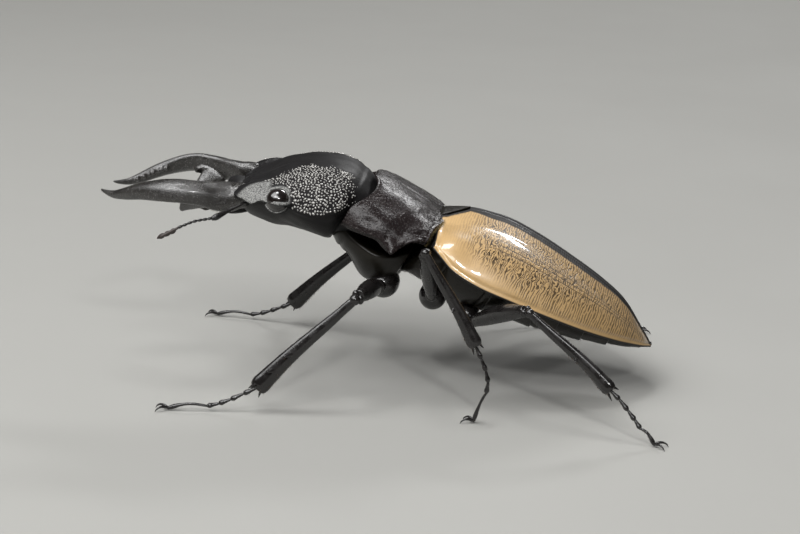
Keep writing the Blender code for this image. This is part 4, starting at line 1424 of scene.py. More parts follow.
@dataclass
class Head:
    """The head: cheeks, brow, the bar that crosses each eye, neck, eyes and grains."""

    stations: Stations = (  # ridge y, ridge z, half width, height, depth and tilt
        (-22.4, 27.2, 6.4, 1.25, 3.75, 0.0), (-21.6, 27.3, 7.3, 1.65, 4.45, 0.0),
        (-19.9, 27.4, 8.4, 2.30, 5.20, 0.0), (-18.0, 27.2, 9.1, 3.2, 5.60, 1.0),
        (-16.0, 26.9, 9.9, 4.25, 5.33, 3.0), (-13.5, 26.2, 10.95, 5.6, 4.8, 8.0),
        (-11.0, 25.6, 11.35, 6.2, 4.5, 13.0), (-9.0, 25.3, 10.9, 5.95, 4.75, 20.0),
        (-7.7, 25.5, 9.4, 4.9, 5.3, 26.0),
    )
    # run, half width, top rise and bottom rise in the thorax's frame
    neck: Stations = ((-0.9, 8.8, -1.2, -10.9), (1.3, 8.0, -1.9, -10.4), (2.4, 7.2, -2.4, -9.8))
    rows: int = 130  # rings along the head
    columns: int = 180  # points round it
    voxel: float = 0.15  # the blended skin's grain
    bar: Stations = (  # the left eye bar's path: x, y, z, half width and half height
        (6.0, -22.4, 28.1, 1.3, 0.45), (7.0, -21.8, 28.3, 2.1, 0.62), (7.95, -20.6, 28.4, 2.5, 0.78),
        (8.65, -19.2, 28.25, 2.85, 0.85), (9.4, -18.2, 27.95, 2.1, 0.62),
        (10.5, -17.6, 27.6, 0.85, 0.42), (11.3, -17.0, 27.5, 0.46, 0.33),
        (11.5, -16.4, 27.45, 0.44, 0.31), (11.2, -15.6, 27.4, 0.42, 0.30),
        (10.5, -14.8, 27.3, 0.42, 0.30),
    )
    bar_up: Vector3 = (0.57, 0.0, 0.82)  # the way that the bar's half heights lie
    eye_centre: Vector3 = (9.75, -16.8, 27.45)  # the left eye's centre
    eye_radius: float = 1.72  # the eyes' radius
    eye_out: Vector3 = (0.92, -0.10, 0.38)  # the way that the left eye looks
    # the raised ring's radius, half thickness and how proud it stands
    eye_rim: Vector3 = (1.74, 0.25, 0.30)

    def skin(self) -> Shape:
        """The head, neck, bars and eye rims as overlapping skins."""
        stations = list(self.stations)
        for run, half_width, top, bottom in self.neck:
            _, y, z = THORAX.place(0.0, run, 0.5 * (top + bottom))
            half_height = 0.5 * (top - bottom)
            stations.append((y, z, half_width, half_height, half_height, THORAX.degrees))
        rings = []
        for y, z, half_width, height, depth, tilt in spread(stations, self.rows):
            keel = 1.55 + 0.6 * float(step(y, -16.0, -7.0))
            ring = PitchedFrame(y, z, tilt)
            rings.append(ring.oval(0.0, half_width, 0.0, height, depth, self.columns, 2.35, keel))
        net = np.array(rings)
        net = net + net_normals(net, True) * self.relief(net)[..., None]
        shape = Shape().add(dome_ends(net, 0.9, 0.0, rows=6))
        angle = ring_angles(24)
        diamond = 1.0 / (np.abs(np.cos(angle)) ** 1.2 + np.abs(np.sin(angle)) ** 1.2) ** (1 / 1.2)
        bar = spread(self.bar, 50)
        for side in SIDES.values():
            flip = np.array((side, 1, 1))
            up = np.array(self.bar_up) * flip
            shape.tube(bar[:, :3] * flip, bar[:, 3], bar[:, 4], 24, (0.3, 0.3), up, diamond)
            thick = self.eye_rim[1]
            shape.tube(self.rim_line() * flip, thick, thick, 16, (0.0, 0.0), np.array(self.eye_out) * flip)
        return shape

    def rim_line(self) -> Array:
        """The middle of the raised ring round the left eye."""
        radius, _, proud = self.eye_rim
        out = unit(np.array(self.eye_out))
        ahead = unit(np.cross(out, UP))
        up = np.cross(ahead, out)
        turn = np.linspace(0, 2 * math.pi + 0.2, 90)[:, None]
        return np.array(self.eye_centre) + out * proud + radius * (np.cos(turn) * ahead + np.sin(turn) * up)

    def relief(self, net: Array) -> Array:
        """A sunken forehead, eye sockets, a cheek keel and soft unevenness."""
        x, y, z = np.abs(net[..., 0]), net[..., 1], net[..., 2]
        top = step(z, 27.6, 28.8)
        height = -0.35 * bump(np.hypot(x * 0.8, (y + 20.3) * 0.9), 3.6) * top
        height = height + 0.20 * bump(np.hypot(x - 3.4, (y + 17.0) * 0.6), 2.0) * top
        height = height + Waves(0.9, 8).at(net) * 0.07 * top * step(-y, 20.2, 21.6)
        from_eye = np.linalg.norm(np.stack((x, y, z), axis=-1) - np.array(self.eye_centre), axis=-1)
        height = height - 0.45 * bump(from_eye, 2.4)
        keel = bump(z - self.cheek_line(y), 0.75) * step(y, -15.6, -13.8) * (1 - step(y, -9.0, -7.2))
        return height + 0.28 * keel + Waves(3.0, 3).at(net) * 0.035 * step(y, -21.5, -19.0)

    @staticmethod
    def cheek_line(y: Array) -> Array:
        """Height of the keel under the cheek."""
        return 26.9 - 0.9 * bump(y + 11.4, 4.6)

    def grain_share(self, points: Array) -> Array:
        """Where the cheeks are grained, from 0 to 1."""
        x, y, z = np.abs(points[:, 0]), points[:, 1], points[:, 2]
        inner = 4.0 + 0.55 * (-14.0 - y).clip(0) + 0.35 * (y + 8.0).clip(0) + 0.4 * Waves(2.4, 9).at(points)
        low = self.cheek_line(y) - 0.25
        share = step(x, inner - 0.5, inner + 0.9) * step(z, low, low + 0.5)
        share *= (1 - step(y + 0.35 * Waves(1.6, 10).at(points), -7.6, -5.4)) * step(y, -22.4, -20.4)
        front = step(z, 28.8, 29.2) + step(y, -15.6, -14.9)
        off_eye = np.hypot(y - self.eye_centre[1], z - self.eye_centre[2])
        return share * front.clip(0, 1) * step(off_eye, 1.9, 2.1)

    def frost_and_top_light_share(self, points: Array, normals: Array) -> Array:
        """Where the eye bars and the eyes' upper rims are frosted pale, from 0 to 1, on faces that look up
        only: real frosting with painted light from above.
        """
        mirror = np.column_stack((np.sign(points[:, 0]), np.ones((len(points), 2))))
        points, normals = points * mirror, normals * mirror
        # only faces that look up are pale: painted light from above
        upward = step(normals @ np.array(self.bar_up), 0.45, 0.75)
        x, y = points[:, 0], points[:, 1]
        from_eye = np.linalg.norm(points - np.array(self.eye_centre), axis=1)
        plate = step(x + 0.25 * (y + 20.0), 7.4, 8.0) * step(y, -23.2, -22.2) * (1 - step(y, -18.3, -17.7))
        ring = (1 - step(from_eye, 2.15, 2.35)) * (1 - step(y, -15.4, -14.8))
        return upward * np.maximum(plate, ring)

    def build(self) -> None:
        """Make and dress the head, its grains and its eyes."""
        head = fused("head_skin", self.skin(), self.voxel, smoothing=3)
        points = vertices(head)
        # pale frosting on the upward faces, partly painted top light
        pale = self.frost_and_top_light_share(points, vertex_normals(head))
        mark(head.data, "pale", pale)
        mark(head.data, "grain", self.grain_share(points) * (1 - step(pale, 0.1, 0.5)))
        finished(head, Look.head, Slot.SHELL, "head")
        finished(Grains().grow("cheek_grains", head, Look.grain), Look.grain, Slot.SHELL)
        x, y, z = self.eye_centre
        for label, side in SIDES.items():
            ball = Shape().ball((side * x, y, z), (self.eye_radius,) * 3, rows=40, columns=56)
            finished(ball.piece(f"eye_ball_{label}"), Look.eye, Slot.EYE, f"eye_{label}")


@dataclass
class Jaws:
    """The two bowed jaws with their teeth."""

    path: Stations = (  # the left jaw: x, y, z, half width and half height
        (5.9, -21.7, 26.9, 1.5, 1.7), (5.9, -22.9, 26.9, 1.6, 1.95), (6.1, -24.2, 26.75, 1.6, 2.2),
        (7.0, -26.1, 26.95, 1.35, 2.1), (7.9, -28.05, 27.45, 1.2, 1.8), (8.5, -30.65, 27.8, 1.05, 1.78),
        (8.5, -32.2, 27.8, 1.02, 1.75), (8.2, -33.6, 27.68, 1.0, 1.65), (7.7, -35.0, 27.45, 0.97, 1.48),
        (7.0, -36.4, 27.15, 0.92, 1.30), (6.2, -37.9, 26.68, 0.85, 1.12),
        (5.1, -39.5, 26.10, 0.72, 0.86), (4.0, -41.1, 25.67, 0.50, 0.58),
        (3.0, -42.5, 25.70, 0.31, 0.31), (2.45, -43.25, 25.85, 0.15, 0.17),
    )
    lean: float = -40.0  # how far the blade leans inwards, in degrees
    flange: Stations = (  # the broad inner tooth: x, y, z, half thickness and half length along the jaw
        (7.9, -28.9, 27.2, 1.0, 2.9), (7.2, -28.8, 26.5, 0.85, 2.35), (6.7, -29.5, 25.8, 0.65, 1.50),
        (6.3, -30.4, 25.15, 0.52, 0.90), (6.05, -30.85, 24.65, 0.40, 0.52),
        (5.95, -31.0, 24.35, 0.24, 0.30),
    )
    # where the small teeth stand, as shares of the path
    denticles: tuple[float, ...] = (0.61, 0.64, 0.67, 0.70, 0.73, 0.76, 0.80)
    denticle: Vector3 = (0.46, 0.2852, 0.345)  # a small tooth's radii
    denticle_way: Vector3 = (-0.80, -0.12, -0.10)  # the way that the left jaw's small teeth point
    inset: float = 0.50  # how far a small tooth stands in from the blade
    right_reach: float = 0.96  # the right jaw's length as a share of the left's
    right_lift: Stations = (  # how much higher the right jaw is held, by y
        (-44.0, 0.12), (-38.0, -0.06), (-35.0, -0.02), (-31.5, 0.16), (-28.5, 0.28),
        (-25.5, 0.45), (-23.0, 0.52),
    )
    hinge: float = -23.1  # the y where a jaw leaves the head
    voxel: float = 0.11  # the blended skin's grain

    def placed(self, side: float, points: Array) -> Array:
        """Points of the left jaw, or their places on the right jaw."""
        if side < 0:
            points[:, 0] *= -1
            points[:, 1] = self.hinge + (points[:, 1] - self.hinge) * self.right_reach
            points[:, 2] += read(self.right_lift, points[:, 1])[:, 0]
        return points

    def jaw(self, side: float) -> Shape:
        """One jaw, its flange and its denticles as overlapping skins."""
        sides = 44
        path = self.placed(side, spread(self.path, 150))
        lean = math.radians(self.lean)
        up = np.array((math.sin(lean) * side, 0.0, math.cos(lean)))
        squared = 1.0 + 0.04 * np.cos(4 * ring_angles(sides))
        shape = Shape().tube(path[:, :3], path[:, 3], path[:, 4], sides, (0.4, 0.1), up, squared)
        flange = self.placed(side, spread(self.flange, 30))
        shape.tube(flange[:, :3], flange[:, 3], flange[:, 4], 30, (0.1, 0.1), (0.0, 1.0, 0.0))
        inward = np.array(self.denticle_way) * (side, 1, 1)
        for share in self.denticles:
            *middle, _, high = path[int(share * (len(path) - 1))]
            root = np.array(middle) + inward * 0.55 * high + up * 0.25 * high
            shape.ball(root + inward * self.inset, self.denticle, 10, 14)
        return shape

    def build(self) -> None:
        """Make and dress both jaws."""
        for label, side in SIDES.items():
            jaw = fused(f"jaw_{label}", self.jaw(side), self.voxel, smoothing=2)
            finished(jaw, Look.jaw, Slot.SHELL, f"mandible_{label}")


@dataclass
class Mouth:
    """The upper lip, the chin plate and the palps, with their hair."""

    # middle y, middle z, half width, half length and half thickness
    lip: tuple[float, ...] = (-23.9, 27.3, 2.7, 1.05, 0.8)
    chin: tuple[float, ...] = (-24.4, 24.2, 3.4, 2.1, 1.05)  # the same for the chin plate
    palp: Stations = (  # the left palp: x, y, z and radius
        (2.2, -25.6, 24.3, 0.30), (2.7, -26.8, 24.2, 0.32), (3.2, -28.0, 24.2, 0.36),
        (3.3, -29.2, 24.35, 0.24),
    )
    # the hair on the chin
    tuft: Bristles = Bristles(per_mm2=16.0, length=(0.6, 1.3), radius=0.025, lean=0.5, seed=31)

    @staticmethod
    def plate(sizes: tuple[float, ...]) -> Shape:
        """A rounded plate across the midline."""
        y, z, half_width, half_length, thick = sizes
        rings = []
        for share in np.linspace(-1, 1, 24):
            size = 0.78 + 0.22 * math.cos(0.5 * math.pi * share)
            ring = PitchedFrame(y + share * half_length, z, 0.0)
            rings.append(ring.oval(0.0, half_width * size, 0.0, thick * size, thick * size, 48, 3.0, 3.0))
        return Shape().add(dome_ends(np.array(rings), 0.3, 0.3))

    def build(self) -> None:
        """Make and dress the mouth's parts."""
        finished(self.plate(self.lip).piece("upper_lip"), Look.head, Slot.SHELL, "labrum")
        chin = finished(self.plate(self.chin).piece("chin_plate"), Look.head, Slot.SHELL, "mentum")
        mark_for_bristles(chin, step(-vertex_normals(chin)[:, 1], 0.1, 0.6), (0.0, -1.0, -0.1))
        finished(self.tuft.grow("chin_hair", chin, Look.hair), Look.hair, Slot.FEELER)
        path = spread(self.palp, 46)
        radius = path[:, 3] * (1.0 + 0.16 * np.cos(np.linspace(0, 6 * math.pi, len(path))))
        for label, side in SIDES.items():
            palp = Shape().tube(path[:, :3] * (side, 1, 1), radius, radius, 18, (0.15, 0.2))
            finished(palp.piece(f"palp_joints_{label}"), Look.palp, Slot.FEELER, f"palp_{label}")


@dataclass
class Feelers:
    """Scape, beads and leafy club of both feelers."""

    scape: Stations = (  # the left scape: x, y, z and radius
        (8.6, -21.6, 26.6, 0.30), (8.9, -22.0, 26.45, 0.22), (10.4, -23.8, 25.7, 0.28),
        (11.5, -25.1, 25.15, 0.46), (11.95, -25.6, 25.0, 0.34),
    )
    # the bead string's path
    funicle: Stations = ((12.1, -25.9, 25.0), (13.2, -28.0, 24.75), (14.0, -29.8, 24.1))
    club: Stations = ((14.05, -30.1, 23.95), (15.0, -32.9, 22.5))  # the club's root and tip
    leaf: Vector3 = (0.10, 0.36, 1.25)  # a leaf's half thickness, half width and half length
    leaves: int = 3  # how many leaves

    def build(self) -> None:
        """Make and dress both feelers."""
        path = spread(self.scape, 60)
        for label, side in SIDES.items():
            flip = np.array((side, 1, 1))
            scape = Shape().tube(path[:, :3] * flip, path[:, 3], path[:, 3], 20, (0.2, 0.25))
            finished(scape.piece(f"feeler_scape_{label}"), Look.limb, Slot.LEG, f"scape_{label}")
            beads = Beads().string(f"feeler_beads_{label}", spread(self.funicle, 24) * flip, Look.limb)
            finished(beads, Look.limb, Slot.LEG, f"funicle_{label}")
            club = self.leafy(flip).piece(f"feeler_club_{label}")
            finished(club, Look.feeler, Slot.FEELER, f"club_{label}")

    def leafy(self, flip: Array) -> Shape:
        """The club's stem and its flat leaves, one above the other."""
        root, tip = (np.array(p) * flip for p in self.club)
        thin, wide, long = self.leaf
        stem = np.linspace(0, 1, 20)
        radius = 0.17 + 0.06 * stem
        shape = Shape().tube(root + np.outer(stem, tip - root) * 0.8, radius, radius, 14, (0.1, 0.1))
        for share in np.linspace(0, 1, self.leaves):
            start = root + (tip - root) * (0.10 + 0.48 * share)
            way = unit(unit(tip - root) - np.array(UP) * (0.22 - 0.24 * share))
            reach = long * (0.95 + 0.10 * share)
            line = start + np.outer(np.linspace(0, reach, 20), way)
            size = np.sin(np.linspace(0.35, 0.93 * math.pi, 20))
            shape.tube(line, thin * size + 0.02, wide * size + 0.02, 16, (0.05, 0.08))
        return shape


# ---- legs


@dataclass(frozen=True)
class LegPlan:
    """Where one leg's joints are and how thick it is."""

    coxa: Stations  # centre and radii of the hip
    femur: Stations  # root and end of the thigh
    knee: Vector3  # where the shin starts
    ankle: Vector3  # where the shin ends
    toes: Stations  # the foot's joints, root to tip
    femur_radius: float = 1.3  # the thigh's half height
    tibia_radii: Pair = (0.6, 0.9)  # the shin's radius at the knee and at the ankle
    toothed: bool = False  # whether the shin has teeth on its outer edge


FRONT_LEG = LegPlan(
    coxa=((5.2, -1.9, 15.3), (3.3, 2.3, 2.3)),
    femur=((8.9, -2.3, 15.4), (16.3, -4.4, 16.2)),
    knee=(17.0, -4.9, 15.9),
    ankle=(20.3, -17.8, 3.4),
    toes=((20.6, -19.7, 2.5), (21.0, -21.4, 1.7), (21.3, -23.0, 1.1), (21.6, -24.6, 0.75),
          (22.2, -30.0, 0.34)),
    femur_radius=1.45,
    tibia_radii=(0.7, 1.15),
    toothed=True,
)
MIDDLE_LEG = LegPlan(
    coxa=((5.6, 5.2, 13.7), (2.6, 2.0, 2.0)),
    femur=((8.5, 5.2, 14.3), (17.2, 4.45, 22.8)),
    knee=(18.1, 4.5, 23.4),
    ankle=(20.0, 12.0, 11.2),
    toes=((20.3, 12.9, 9.4), (20.5, 13.6, 7.8), (20.6, 14.0, 6.2), (20.5, 13.8, 4.6), (20.2, 12.2, 0.34)),
)
HIND_LEG = LegPlan(
    coxa=((5.6, 10.3, 11.8), (3.4, 1.6, 1.8)),
    femur=((9.3, 11.2, 11.2), (17.5, 18.4, 15.7)),
    knee=(18.2, 19.1, 15.7),
    ankle=(23.0, 30.6, 6.9),
    toes=((23.5, 31.9, 5.8), (24.0, 33.1, 4.5), (24.4, 34.1, 3.3), (24.8, 34.9, 2.3), (25.5, 36.9, 0.34)),
)
RIGHT_MIDDLE_LEG = LegPlan(
    coxa=MIDDLE_LEG.coxa,
    femur=((8.6, 5.4, 14.0), (19.1, 6.6, 18.7)),
    knee=(19.9, 6.9, 18.9),
    ankle=(22.4, 13.0, 6.2),
    toes=((22.9, 14.0, 4.8), (23.4, 15.1, 3.5), (24.0, 16.2, 2.4), (24.6, 17.3, 1.5), (25.4, 20.4, 0.34)),
)
RIGHT_HIND_LEG = LegPlan(
    coxa=HIND_LEG.coxa,
    femur=((9.3, 11.2, 11.2), (17.9, 17.2, 15.2)),
    knee=(18.6, 17.8, 15.2),
    ankle=(23.2, 29.4, 6.5),
    toes=((23.7, 30.7, 5.4), (24.1, 31.9, 4.1), (24.5, 33.0, 3.0), (24.9, 33.9, 2.1), (25.6, 36.2, 0.34)),
)
LEGS = {
    "left": {"front": FRONT_LEG, "middle": MIDDLE_LEG, "hind": HIND_LEG},
    "right": {"front": FRONT_LEG, "middle": RIGHT_MIDDLE_LEG, "hind": RIGHT_HIND_LEG},
}


@dataclass
class Leg:
    """Hip, thigh, shin, foot and claws of one leg."""

    pair: str  # front, middle or hind
    label: str  # left or right
    plan: LegPlan  # where its joints are
    gap: float = 0.12  # the least gap between two segments
    toe_radius: float = 0.40  # a foot bead's radius
    tooth_places: tuple[float, ...] = (0.62, 0.80, 0.97)  # shares of the shin where its teeth stand
    thigh_form: Stations = (  # the thigh's radius along it, as shares of its length and of its radius
        (0.0, 0.50), (0.06, 0.66), (0.25, 0.90), (0.5, 1.0), (0.75, 0.92), (0.92, 0.74), (1.0, 0.62),
    )
    shin_form: Stations = (  # the same for the shin
        (0.0, 0.80), (0.05, 0.92), (0.14, 0.90), (0.3, 0.98), (0.6, 1.04), (0.88, 1.16),
        (0.97, 1.22), (1.0, 1.05),
    )
    # the same for a foot bead
    bead_form: Stations = ((0.0, 0.42), (0.12, 0.55), (0.5, 0.74), (0.82, 1.0), (1.0, 0.74))
    # the same for the foot's last, long bead
    last_form: Stations = ((0.0, 0.40), (0.1, 0.50), (0.6, 0.56), (0.88, 0.86), (1.0, 0.66))
    claw: Stations = (  # a claw's path as forward, sideways, height and radius
        (-0.10, 0.05, 0.36, 0.17), (0.35, 0.28, 0.60, 0.21), (0.95, 0.62, 0.66, 0.16),
        (1.45, 0.86, 0.40, 0.10), (1.68, 0.90, 0.045, 0.03),
    )
    # the bristles of the shin
    fringe: Bristles = Bristles(per_mm2=3.0, length=(0.35, 0.75), radius=0.020, lean=0.6, seed=41)
    # the bristles under the foot
    sole: Bristles = Bristles(per_mm2=7.0, length=(0.20, 0.42), radius=0.018, lean=0.55, seed=43)

    def at(self, point: tuple[float, ...]) -> Array:
        """A point of the left leg's plan on this leg's side."""
        return np.array((point[0] * SIDES[self.label], *point[1:3]))

    def shin_way(self) -> Array:
        """The direction from the knee to the ankle."""
        return unit(self.at(self.plan.ankle) - self.at(self.plan.knee))

    def hip(self) -> Shape:
        """The hip, a rounded cone with a ringed end towards the thigh."""
        centre, radii = self.plan.coxa
        middle, root, end = (self.at(p) for p in (centre, *self.plan.femur))
        share = np.linspace(0, 1, 26)
        start = middle + (root - middle) * 0.25
        reach = root + (end - root) * 0.05
        size = self.plan.femur_radius * (0.92 - 0.16 * share + 0.05 * np.cos(14 * share)) * 0.85
        shape = Shape().ball(middle, radii, 30, 44)
        return shape.tube(start + np.outer(share, reach - start), size, size, 32, (0.2, 0.2))

    def thigh(self) -> Shape:
        """A spindle, thickest at its middle, that opens in two lobes round the knee."""
        root, end, knee = (self.at(p) for p in (*self.plan.femur, self.plan.knee))
        share = np.linspace(0, 1, 70)
        size = self.plan.femur_radius
        radius = read(self.thigh_form, share)[:, 0] * size
        line = root + np.outer(share, end - root) + np.outer(np.sin(math.pi * share) * 0.35, UP)
        form = 1.0 + 0.03 * np.cos(2 * ring_angles(36))
        shape = Shape().tube(line, radius * 0.80, radius, 36, (0.25, 0.2), shape=form)
        along = unit(knee - end)
        out = unit(np.cross(along, self.shin_way()))
        for way in (-1.0, 1.0):
            lobe = end + out * way * size * 0.34 + along * size * 0.22
            shape.ball(lobe, (size * 0.30, size * 0.34, size * 0.46), 14, 20)
        return shape

    def shin(self) -> Shape:
        """A fluted shin that widens to the ankle, with a round knee, teeth and spurs."""
        knee, ankle = self.at(self.plan.knee), self.at(self.plan.ankle)
        thin, thick = self.plan.tibia_radii
        share = np.linspace(0, 1, 110)
        radius = read(self.shin_form, share)[:, 0] * (thin + (thick - thin) * share)
        bow = 0.30 * np.sin(math.pi * share) - 0.12 * np.sin(2 * math.pi * share)
        line = knee + np.outer(share, ankle - knee) + np.outer(bow, UP)
        form = 1.0 + 0.018 * np.cos(6 * ring_angles(40) + 0.4)
        shape = Shape().tube(line, radius * 0.80, radius, 40, (0.3, 0.25), shape=form)
        along = self.shin_way()
        shape.ball(knee + along * 0.1, (thin * 1.12,) * 3, 22, 30)
        outward = np.array((SIDES[self.label], -0.6, 0.3))
        outward = unit(outward - along * outward.dot(along))
        across = np.cross(along, outward)
        if self.plan.toothed:
            teeth = [(place, outward * thick * 1.75 + along * 0.9, 0.55) for place in self.tooth_places]
        else:
            teeth = [(0.58, outward * thick * 1.35 + along * 0.35, 0.30)]
        for place, reach, size in teeth:
            self.spine(shape, knee + (ankle - knee) * place, reach, size)
        for way, length in ((1.0, 1.25), (-1.0, 0.95)):
            base = ankle - along * 0.25 + across * way * thick * 0.55
            self.spine(shape, base, along * length + across * way * 0.42 - outward * 0.15, 0.24)
        return shape

    @staticmethod
    def spine(shape: Shape, root: Array, reach: Array, radius: float) -> None:
        """Add a curved spine to a shape."""
        share = np.linspace(0, 1, 16)
        droop = np.array(UP) * -0.12 * np.linalg.norm(reach)
        size = radius * (1 - share) ** 0.75 + 0.03
        shape.tube(root + np.outer(share, reach) + np.outer(share**2, droop), size, size, 14, (0.05, 0.03))

    def foot(self) -> Shape:
        """Four short beads and a long one, each narrow at its root."""
        ankle = self.at(self.plan.ankle)
        joints = [self.at(p) for p in self.plan.toes]
        starts = [ankle + (joints[0] - ankle) * 0.05, *joints]
        shape = Shape()
        for low, high in zip(starts, joints):
            last = high is joints[-1]
            share = np.linspace(0, 1, 30 if last else 20)
            size = read(self.last_form if last else self.bead_form, share)[:, 0] * self.toe_radius
            reach = max(np.linalg.norm(high - low) - self.gap, 0.3)
            arched = 0.45 * np.sin(math.pi * share) if last else 0.0 * share
            line = low + np.outer(share, unit(high - low) * reach) + np.outer(arched, UP)
            shape.tube(line, size, size * 0.92, 22, (0.10, 0.12))
            shape.ball(low, (0.17,) * 3, 8, 12)
        return shape

    def claws(self) -> Shape:
        """Two hooks that spread from the foot's end and come down to the ground."""
        flat = np.array((1, 1, 0))
        before, foot = (self.at(p) * flat for p in self.plan.toes[-2:])
        forward = unit(foot - before)
        across = np.array((-forward[1], forward[0], 0.0))
        ahead, sideways, height, radius = spread(self.claw, 30).T
        shape = Shape()
        for way in (-1.0, 1.0):
            line = foot + np.outer(ahead, forward) + np.outer(sideways * way, across) + np.outer(height, UP)
            shape.tube(line, radius * 0.8, radius, 16, (0.1, 0.02))
        return shape.ball(foot + forward * 0.35 + np.array(UP) * 0.34, (0.16, 0.16, 0.12), 8, 12)

    def build(self) -> None:
        """Make and dress the leg and its bristles."""
        place = f"{self.pair}_{self.label}"
        made = {}
        for name, shape, node in (
            ("hip", self.hip(), "coxa"),
            ("thigh", self.thigh(), "femur"),
            ("claw_pair", self.claws(), "claws"),
            ("shin", self.shin(), "tibia"),
            ("foot", self.foot(), "tarsus"),
        ):
            piece = shape.piece(f"{name}_{place}")
            made[name] = finished(piece, Look.limb, Slot.LEG, f"{node}_{place}")
        for name, growth in (("shin", self.fringe), ("foot", self.sole)):
            host = made[name]
            mark_for_bristles(host, *(self.shin_fringe(host) if name == "shin" else self.under_foot(host)))
            bristles = growth.grow(f"{name}_bristles_{place}", host, Look.bristle)
            finished(bristles, Look.bristle, Slot.LEG)

    def shin_fringe(self, shin: Piece) -> tuple[Array, Array]:
        """How many bristles stand below the shin's end, and the way that they lie."""
        knee, ankle = self.at(self.plan.knee), self.at(self.plan.ankle)
        share = (vertices(shin) - knee) @ self.shin_way() / np.linalg.norm(ankle - knee)
        below = step(-vertex_normals(shin)[:, 2], 0.0, 0.5)
        return below * step(share, 0.25, 0.9), self.shin_way()

    def under_foot(self, foot: Piece) -> tuple[Array, Array]:
        """How many bristles stand under the foot, and the way that they lie."""
        under = step(-vertex_normals(foot)[:, 2], 0.1, 0.7) * step(vertices(foot)[:, 2], 0.35, 0.8)
        return under, unit(self.at(self.plan.toes[-1]) - self.at(self.plan.toes[0]))


# ---- hair


@dataclass
class CollarHair:
    """The golden hair that shows between the front thorax and the wing cases."""

    run: float = 10.45  # where its line lies behind the pronotum, in the thorax's frame
    half_width: float = 10.3  # how far it reaches to each side
    depth: float = 4.0  # how far it goes down each side, as an angle from the margin
    breadth: float = 0.25  # the width of the band that it grows from
    arch: Vector3 = (-3.5, 3.1, 0.35)  # the band's rise at its ends, its height and its backward fall
    hair: Bristles = Bristles(  # how it grows
        per_mm2=150.0, length=(0.25, 0.50), radius=0.016, lean=0.85, stray=0.14, seed=51
    )

    def build(self) -> None:
        """Grow the hair from a hidden strip and drop the strip."""
        angle = np.radians(np.linspace(self.depth, 180 - self.depth, 160))
        sideways, upwards = Pronotum.square
        x = self.half_width * power(np.cos(angle), 2 / sideways)
        share = np.array((0.0, 0.5, 1.0))[:, None]
        low, crown, fall = self.arch
        rise = low + crown * np.sin(angle) ** (2 / upwards) - fall * share
        run = self.run + self.breadth * share + Pronotum.edge_shift(Pronotum.rear_edge, x)
        net = THORAX.place(x, run, rise)
        rows, count, _ = net.shape
        faces = [(r * count + i, r * count + i + 1, (r + 1) * count + i + 1, (r + 1) * count + i)
                 for r in range(rows - 1) for i in range(count - 1)]
        strip = linked("collar_strip", plain_mesh("collar_strip", net.reshape(-1, 3), faces=faces))
        bpy.context.view_layer.update()
        mark_for_bristles(strip, np.ones(rows * count), THORAX.way(rise=0.35))
        finished(self.hair.grow("collar_hair", strip, Look.hair), Look.hair, Slot.FEELER)
        bpy.data.objects.remove(strip)


# ---- studio


def outward(azimuth: float, elevation: float) -> Vector:
    """The direction from the beetle to an azimuth and an elevation in degrees."""
    a, e = math.radians(azimuth), math.radians(elevation)
    return Vector((math.sin(a) * math.cos(e), -math.cos(a) * math.cos(e), math.sin(e)))


@dataclass
class Softbox:
    """One soft area light."""

    name: str  # the light's name
    azimuth: float  # where it stands, in degrees; 0 is in front of the head and 90 on the left
    elevation: float  # its height above the ground, in degrees
    distance: float  # its distance from the beetle in metres
    size: Pair  # width and height in metres
    power: float  # its power in watts

    def build(self, target: Vector) -> None:
        """Hang the light, facing the beetle."""
        light = bpy.data.lights.new(self.name, "AREA")
        light.shape = "RECTANGLE"
        light.size, light.size_y = self.size
        light.energy = self.power
        lamp = linked(self.name, light)
        way = outward(self.azimuth, self.elevation)
        lamp.location = target + way * self.distance
        lamp.rotation_euler = way.to_track_quat("Z", "Y").to_euler()


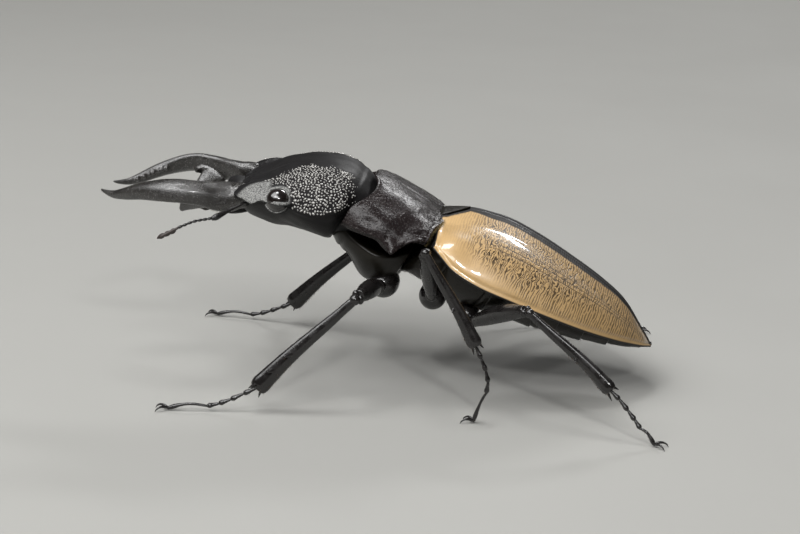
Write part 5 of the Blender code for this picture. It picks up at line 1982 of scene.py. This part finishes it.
@dataclass
class Studio:
    """Pale floor that sweeps up all round, soft lights, and the camera."""

    # the flat floor's radius and the sweep's outer radius and height, in metres
    floor: Vector3 = (0.9, 1.5, 1.1)
    azimuth: float = 93.7  # the camera's azimuth in degrees; 90 looks at the beetle's left side
    elevation: float = 16.0  # its height above the ground in degrees
    roll: float = 2.1  # its roll in degrees
    distance: float = 322.0  # its distance from what it looks at, in millimetres
    target: Vector3 = (0.0, 0.0, 16.0)  # what it looks at, in millimetres of the drawing
    lens: float = 100.0  # its focal length in millimetres, for a sensor 36 wide
    sky: tuple[float, ...] = (0.97, 0.98, 1.0, 1.0)  # the world's colour
    sky_strength: float = 0.07  # how much light the world gives
    lights: tuple[Softbox, ...] = (  # the soft lights
        Softbox("front", 26.0, 56.0, 0.60, (0.48, 0.42), 3.1),
        Softbox("side", 106.0, 38.0, 0.60, (0.045, 0.05), 0.85),
        Softbox("fill", 74.0, 48.0, 0.60, (0.36, 0.16), 1.8),
        Softbox("shoulder", -28.0, 81.0, 0.60, (0.16, 0.14), 1.2),
        Softbox("back", -109.0, 32.0, 0.80, (0.25, 0.05), 1.75),
    )

    def sweep(self) -> Piece:
        """A flat disc whose rim curves up into a wall."""
        flat, outer, height = self.floor
        bend = outer - flat
        profile = [(0.02, 0.0), (0.15, 0.0), (0.4, 0.0), (flat, 0.0)]
        profile += [(flat + bend * math.sin(a), bend * (1 - math.cos(a)))
                    for a in np.linspace(0.0, math.pi / 2, 14)[1:]]
        profile.append((outer, height))
        sides = 96
        turns = [2 * math.pi * i / sides for i in range(sides)]
        points = [(radius * math.cos(t), radius * math.sin(t), z) for radius, z in profile for t in turns]
        faces = [tuple(range(sides))]
        for low in range(0, sides * (len(profile) - 1), sides):
            for i in range(sides):
                j = (i + 1) % sides
                faces.append((low + i, low + sides + i, low + sides + j, low + j))
        mesh = bpy.data.meshes.new("studio_floor")
        mesh.from_pydata(points, [], faces)
        mesh.shade_smooth()
        mesh.materials.append(Look.floor.material())
        return linked("studio_floor", mesh)

    def camera(self) -> None:
        """The camera at the chosen viewing angle."""
        back = outward(self.azimuth, self.elevation)
        turn, roll = math.radians(self.azimuth), math.radians(self.roll)
        right = Vector((math.cos(turn), math.sin(turn), 0.0))
        up = back.cross(right)
        rolled = right * math.cos(roll) + up * math.sin(roll)
        upward = up * math.cos(roll) - right * math.sin(roll)
        data = bpy.data.cameras.new("camera")
        data.lens = self.lens
        data.sensor_width = 36.0
        data.clip_start = 0.01
        camera = linked("camera", data)
        place = (Vector(self.target) + Vector(SHIFT) + back * self.distance) * MM
        axes = Matrix((rolled, upward, back)).transposed().to_4x4()
        camera.matrix_world = Matrix.Translation(place) @ axes
        bpy.context.scene.camera = camera

    def build(self) -> None:
        """Set up the floor, the light and the camera."""
        self.sweep()
        world = bpy.data.worlds.new("studio")
        bpy.context.scene.world = world
        world.use_nodes = True
        background = world.node_tree.nodes["Background"]
        background.inputs["Color"].default_value = self.sky
        background.inputs["Strength"].default_value = self.sky_strength
        bpy.context.scene.view_settings.view_transform = "Standard"
        for light in self.lights:
            light.build((Vector(self.target) + Vector(SHIFT)) * MM)
        self.camera()


def main() -> None:
    """Build the beetle's finished look and the studio round it."""
    logging.basicConfig(level=logging.INFO, format="%(name)s: %(message)s")
    cases = WingCases()
    Head().build()
    Jaws().build()
    Mouth().build()
    Feelers().build()
    Pronotum().build()
    cases.build()
    Underside().build(cases)
    for label, pairs in LEGS.items():
        for pair, plan in pairs.items():
            Leg(pair, label, plan).build()
    CollarHair().build()
    Studio().build()


if __name__ == "__main__":
    main()
